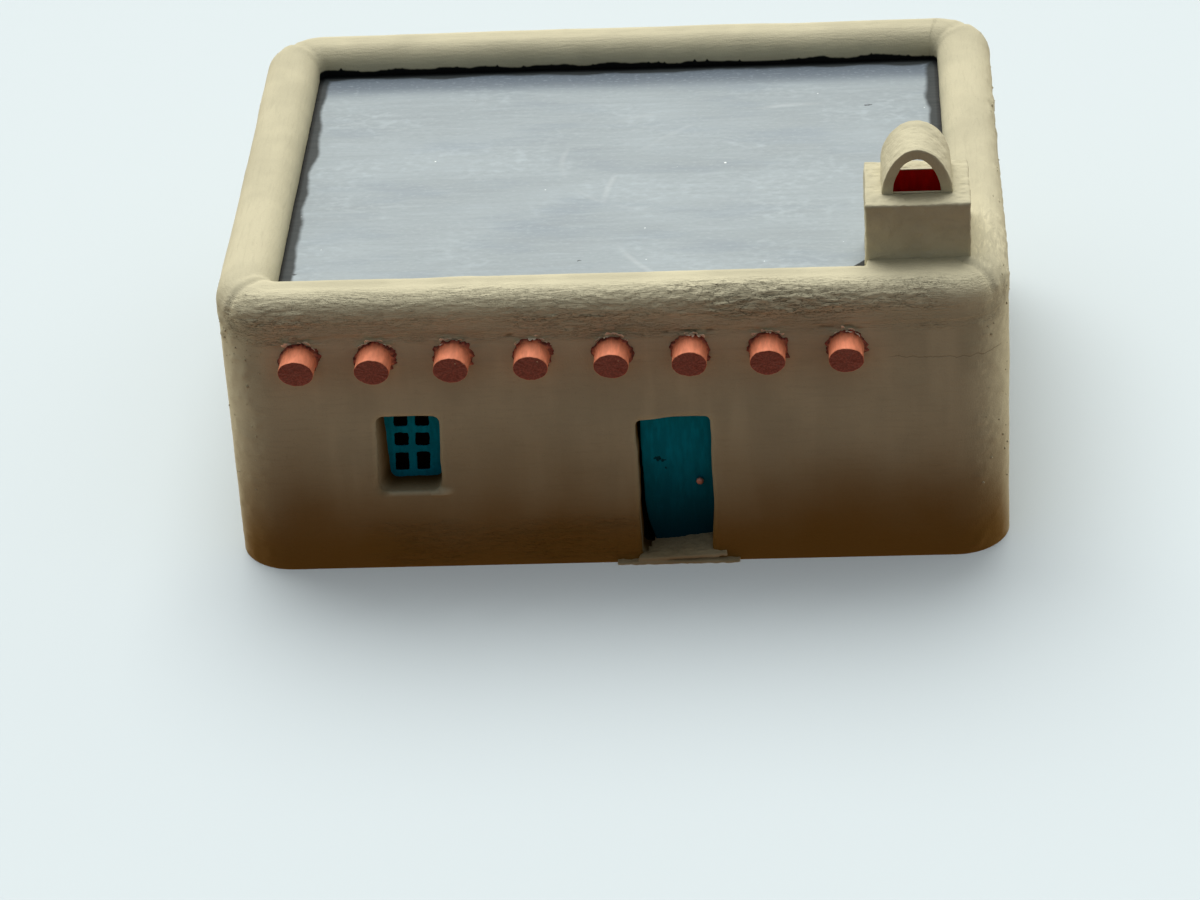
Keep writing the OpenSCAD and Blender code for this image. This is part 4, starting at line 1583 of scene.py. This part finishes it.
class ADOBE_OT_chimney(bpy.types.Operator):
    """Build the chimney block and its arched hood, and paint the flue"""

    bl_idname = "adobe.chimney"
    bl_label = "Chimney"

    def execute(self, context):
        chimney, walls = context.scene.adobe_chimney, context.scene.adobe_walls
        paint = khaki_paint("chimney_paint", walls, fine=1.3)
        self.block(paint)
        self.hood(chimney, paint)
        refinish("flue_lining", flue_finish(chimney, walls))
        return {"FINISHED"}

    def block(self, paint):
        """Four sides round the flue's hole, on a solid foot."""
        low, high = box_mm("chimney_block")
        hole_low, hole_high = box_mm("flue_lining")
        foot = CREST_Z - 0.2
        bm = bmesh.new()
        add_box(bm, (low[0], 0.05 - INNER_Y, low[2]), (INNER_X - 0.05, high[1], CREST_Z + 0.3))
        add_box(bm, (low[0], low[1], foot), (high[0], high[1], hole_low[2]))
        add_box(bm, (low[0], low[1], foot), (hole_low[0], high[1], high[2]))
        add_box(bm, (hole_high[0], low[1], foot), (high[0], high[1], high[2]))
        add_box(bm, (low[0], low[1], foot), (high[0], hole_low[1], high[2]))
        add_box(bm, (low[0], hole_high[1], foot), (high[0], high[1], high[2]))
        lumps = [(3.0, 0.08), (0.9, 0.06), (0.35, 0.04)]
        piece = moulded("chimney_block_painted", bm, 0.12, 6, lumps, 501, [paint])
        place(piece, "wall_paint", "chimney_block")

    def hood(self, chimney, paint):
        """An arched tunnel, open at both ends and fuller at the back than at the front."""
        low, high = box_mm("chimney_hood")
        middle, half, rise = (low[0] + high[0]) / 2, (high[0] - low[0]) / 2, high[2] - low[2]
        thick, sink = chimney.hood_t / MM, 0.15
        steps, stations = 28, 9

        def arch(foot, top, curve):
            heights = [top * math.sin(math.pi / 2 * i / steps) for i in range(steps)] + [top]
            right = [(foot * math.sqrt(max(0, 1 - (height / top) ** curve)), height) for height in heights]
            whole = right + [(-x, height) for x, height in right[-2::-1]]
            return [(foot, -sink)] + whole + [(-foot, -sink)]

        bm = bmesh.new()
        rings = []
        for i in range(stations):
            share = i / (stations - 1)
            curve = chimney.front_curve + (chimney.back_curve - chimney.front_curve) * share
            y = low[1] + (high[1] - low[1]) * share
            rings.append([
                [bm.verts.new((middle + x, y, low[2] + z)) for x, z in arch(foot, top, curve)]
                for foot, top in ((half, rise), (half - thick, rise - thick))
            ])
        for (outer_a, inner_a), (outer_b, inner_b) in zip(rings, rings[1:]):
            for i in range(len(outer_a) - 1):
                bm.faces.new((outer_a[i + 1], outer_a[i], outer_b[i], outer_b[i + 1]))
                bm.faces.new((inner_a[i], inner_a[i + 1], inner_b[i + 1], inner_b[i]))
            bm.faces.new((outer_a[0], inner_a[0], inner_b[0], outer_b[0]))
            bm.faces.new((inner_a[-1], outer_a[-1], outer_b[-1], inner_b[-1]))
        (outer_a, inner_a), (outer_b, inner_b) = rings[0], rings[-1]
        for i in range(len(outer_a) - 1):
            bm.faces.new((outer_a[i], outer_a[i + 1], inner_a[i + 1], inner_a[i]))
            bm.faces.new((outer_b[i + 1], outer_b[i], inner_b[i], inner_b[i + 1]))
        lumps = [(2.5, 0.05), (0.8, 0.035), (0.3, 0.022)]
        piece = moulded("chimney_hood_painted", bm, 0.09, 2, lumps, 521, [paint])
        place(piece, "wall_paint", "chimney_hood")


class ADOBE_OT_floor(bpy.types.Operator):
    """Give the floor board inside the walls its wood"""

    bl_idname = "adobe.floor"
    bl_label = "Floor board"

    def execute(self, context):
        refinish("floor", bare_wood())
        return {"FINISHED"}


# ---------------------------------------------------------------- studio


class ADOBE_OT_studio(bpy.types.Operator):
    """Set the pale floor, the soft lights and the camera"""

    bl_idname = "adobe.studio"
    bl_label = "Studio"

    def execute(self, context):
        studio = context.scene.adobe_studio
        floor = self.floor(studio)
        self.world(context, studio)
        self.lamp("key", studio.key_from, studio.key_strength, studio.key_spread, (1.0, 0.985, 0.94))
        fill = self.lamp("floor_fill", (0, -0.4, 1), studio.fill_strength, math.radians(90), (1.0, 1.0, 1.0))
        only_floor = bpy.data.collections.new("lit_by_floor_fill")
        only_floor.objects.link(floor)
        fill.light_linking.receiver_collection = only_floor
        fill.data.use_shadow = False
        self.camera(context, studio)
        context.scene.view_settings.view_transform = "Standard"
        return {"FINISHED"}

    def floor(self, studio):
        """A broad pale floor that throws no light back up at the walls."""
        bpy.ops.mesh.primitive_plane_add(size=40, location=(0, 0, 0))
        floor = bpy.context.object
        floor.name = "studio_floor"
        finish = Finish("studio_floor", roughness=0.9, specular=0.1)
        finish.shader.inputs["Base Color"].default_value = (*studio.floor, 1)
        floor.data.materials.append(finish.material)
        floor.visible_diffuse = False
        floor.visible_glossy = False
        return floor

    def world(self, context, studio):
        """Even light from all round: cool from above and warm and weaker from below."""
        world = bpy.data.worlds.new("studio")
        world.use_nodes = True
        tree = world.node_tree
        direction = add_node(tree, "ShaderNodeTexCoord").outputs["Generated"]
        _, y, z = add_node(tree, "ShaderNodeSeparateXYZ", {0: direction}).outputs
        rise, turn, level = (
            add_node(tree, "ShaderNodeMapRange", {0: value, 1: low, 2: high}).outputs[0]
            for value, low, high in ((z, -0.08, 0.08), (y, -0.52, 0.24), (z, 0.85, 0.35))
        )
        share = add_node(tree, "ShaderNodeMath", {0: turn, 1: level}, operation="MULTIPLY").outputs[0]
        glow = mix_node(tree, rise, studio.ground_light, studio.sky_light)
        glow = mix_node(tree, share, glow, studio.side_light)
        tree.links.new(glow, tree.nodes["Background"].inputs["Color"])
        context.scene.world = world

    def lamp(self, name, spot, strength, spread, tint):
        """A broad soft source that shines from spot towards the house."""
        light = bpy.data.lights.new(name, "SUN")
        light.energy, light.angle, light.color = strength, spread, tint
        lamp = bpy.data.objects.new(name, light)
        bpy.context.scene.collection.objects.link(lamp)
        lamp.location = spot
        lamp.rotation_euler = (-lamp.location).to_track_quat("-Z", "Y").to_euler()
        return lamp

    def camera(self, context, studio):
        """A long lens looking down at the front of the house."""
        pitch, yaw, roll = studio.pitch, studio.yaw, studio.roll
        look = np.array([
            math.sin(yaw) * math.cos(pitch),
            math.cos(yaw) * math.cos(pitch),
            -math.sin(pitch),
        ])
        level = np.array([math.cos(yaw), -math.sin(yaw), 0])
        upright = np.cross(level, look)
        right = math.cos(roll) * level + math.sin(roll) * upright
        up = math.cos(roll) * upright - math.sin(roll) * level
        camera = bpy.data.objects.new("camera", bpy.data.cameras.new("camera"))
        context.scene.collection.objects.link(camera)
        camera.data.lens = studio.lens
        camera.data.clip_start = 0.01
        spot = np.array(studio.aim) - look * studio.distance
        turn = Matrix(np.column_stack([right, up, -look]).tolist()).to_4x4()
        camera.matrix_world = Matrix.Translation(spot.tolist()) @ turn
        context.scene.camera = camera


# ---------------------------------------------------------------- add-on


OPERATORS = (
    ADOBE_OT_walls,
    ADOBE_OT_roof,
    ADOBE_OT_vigas,
    ADOBE_OT_window,
    ADOBE_OT_door,
    ADOBE_OT_chimney,
    ADOBE_OT_floor,
    ADOBE_OT_studio,
)


class ADOBE_PT_sidebar(bpy.types.Panel):
    """Lists the pieces of the house"""

    bl_idname = "ADOBE_PT_sidebar"
    bl_label = "Adobe house"
    bl_space_type = "VIEW_3D"
    bl_region_type = "UI"
    bl_category = "Adobe house"

    def draw(self, context):
        for operator in OPERATORS:
            self.layout.operator(operator.bl_idname)
        for group in SETTINGS:
            settings = getattr(context.scene, group)
            column = self.layout.column(heading=group)
            for key in settings.bl_rna.properties.keys():
                if key not in ("rna_type", "name"):
                    column.prop(settings, key)


CLASSES = (*SETTINGS.values(), *OPERATORS, ADOBE_PT_sidebar)


def register():
    for item in CLASSES:
        bpy.utils.register_class(item)
    for group, item in SETTINGS.items():
        setattr(bpy.types.Scene, group, PointerProperty(type=item))


def unregister():
    for group in SETTINGS:
        delattr(bpy.types.Scene, group)
    for item in reversed(CLASSES):
        bpy.utils.unregister_class(item)


def main():
    """Builds every piece in order."""
    register()
    for operator in OPERATORS:
        group, name = operator.bl_idname.split(".")
        getattr(getattr(bpy.ops, group), name)()


if __name__ == "__main__":
    main()
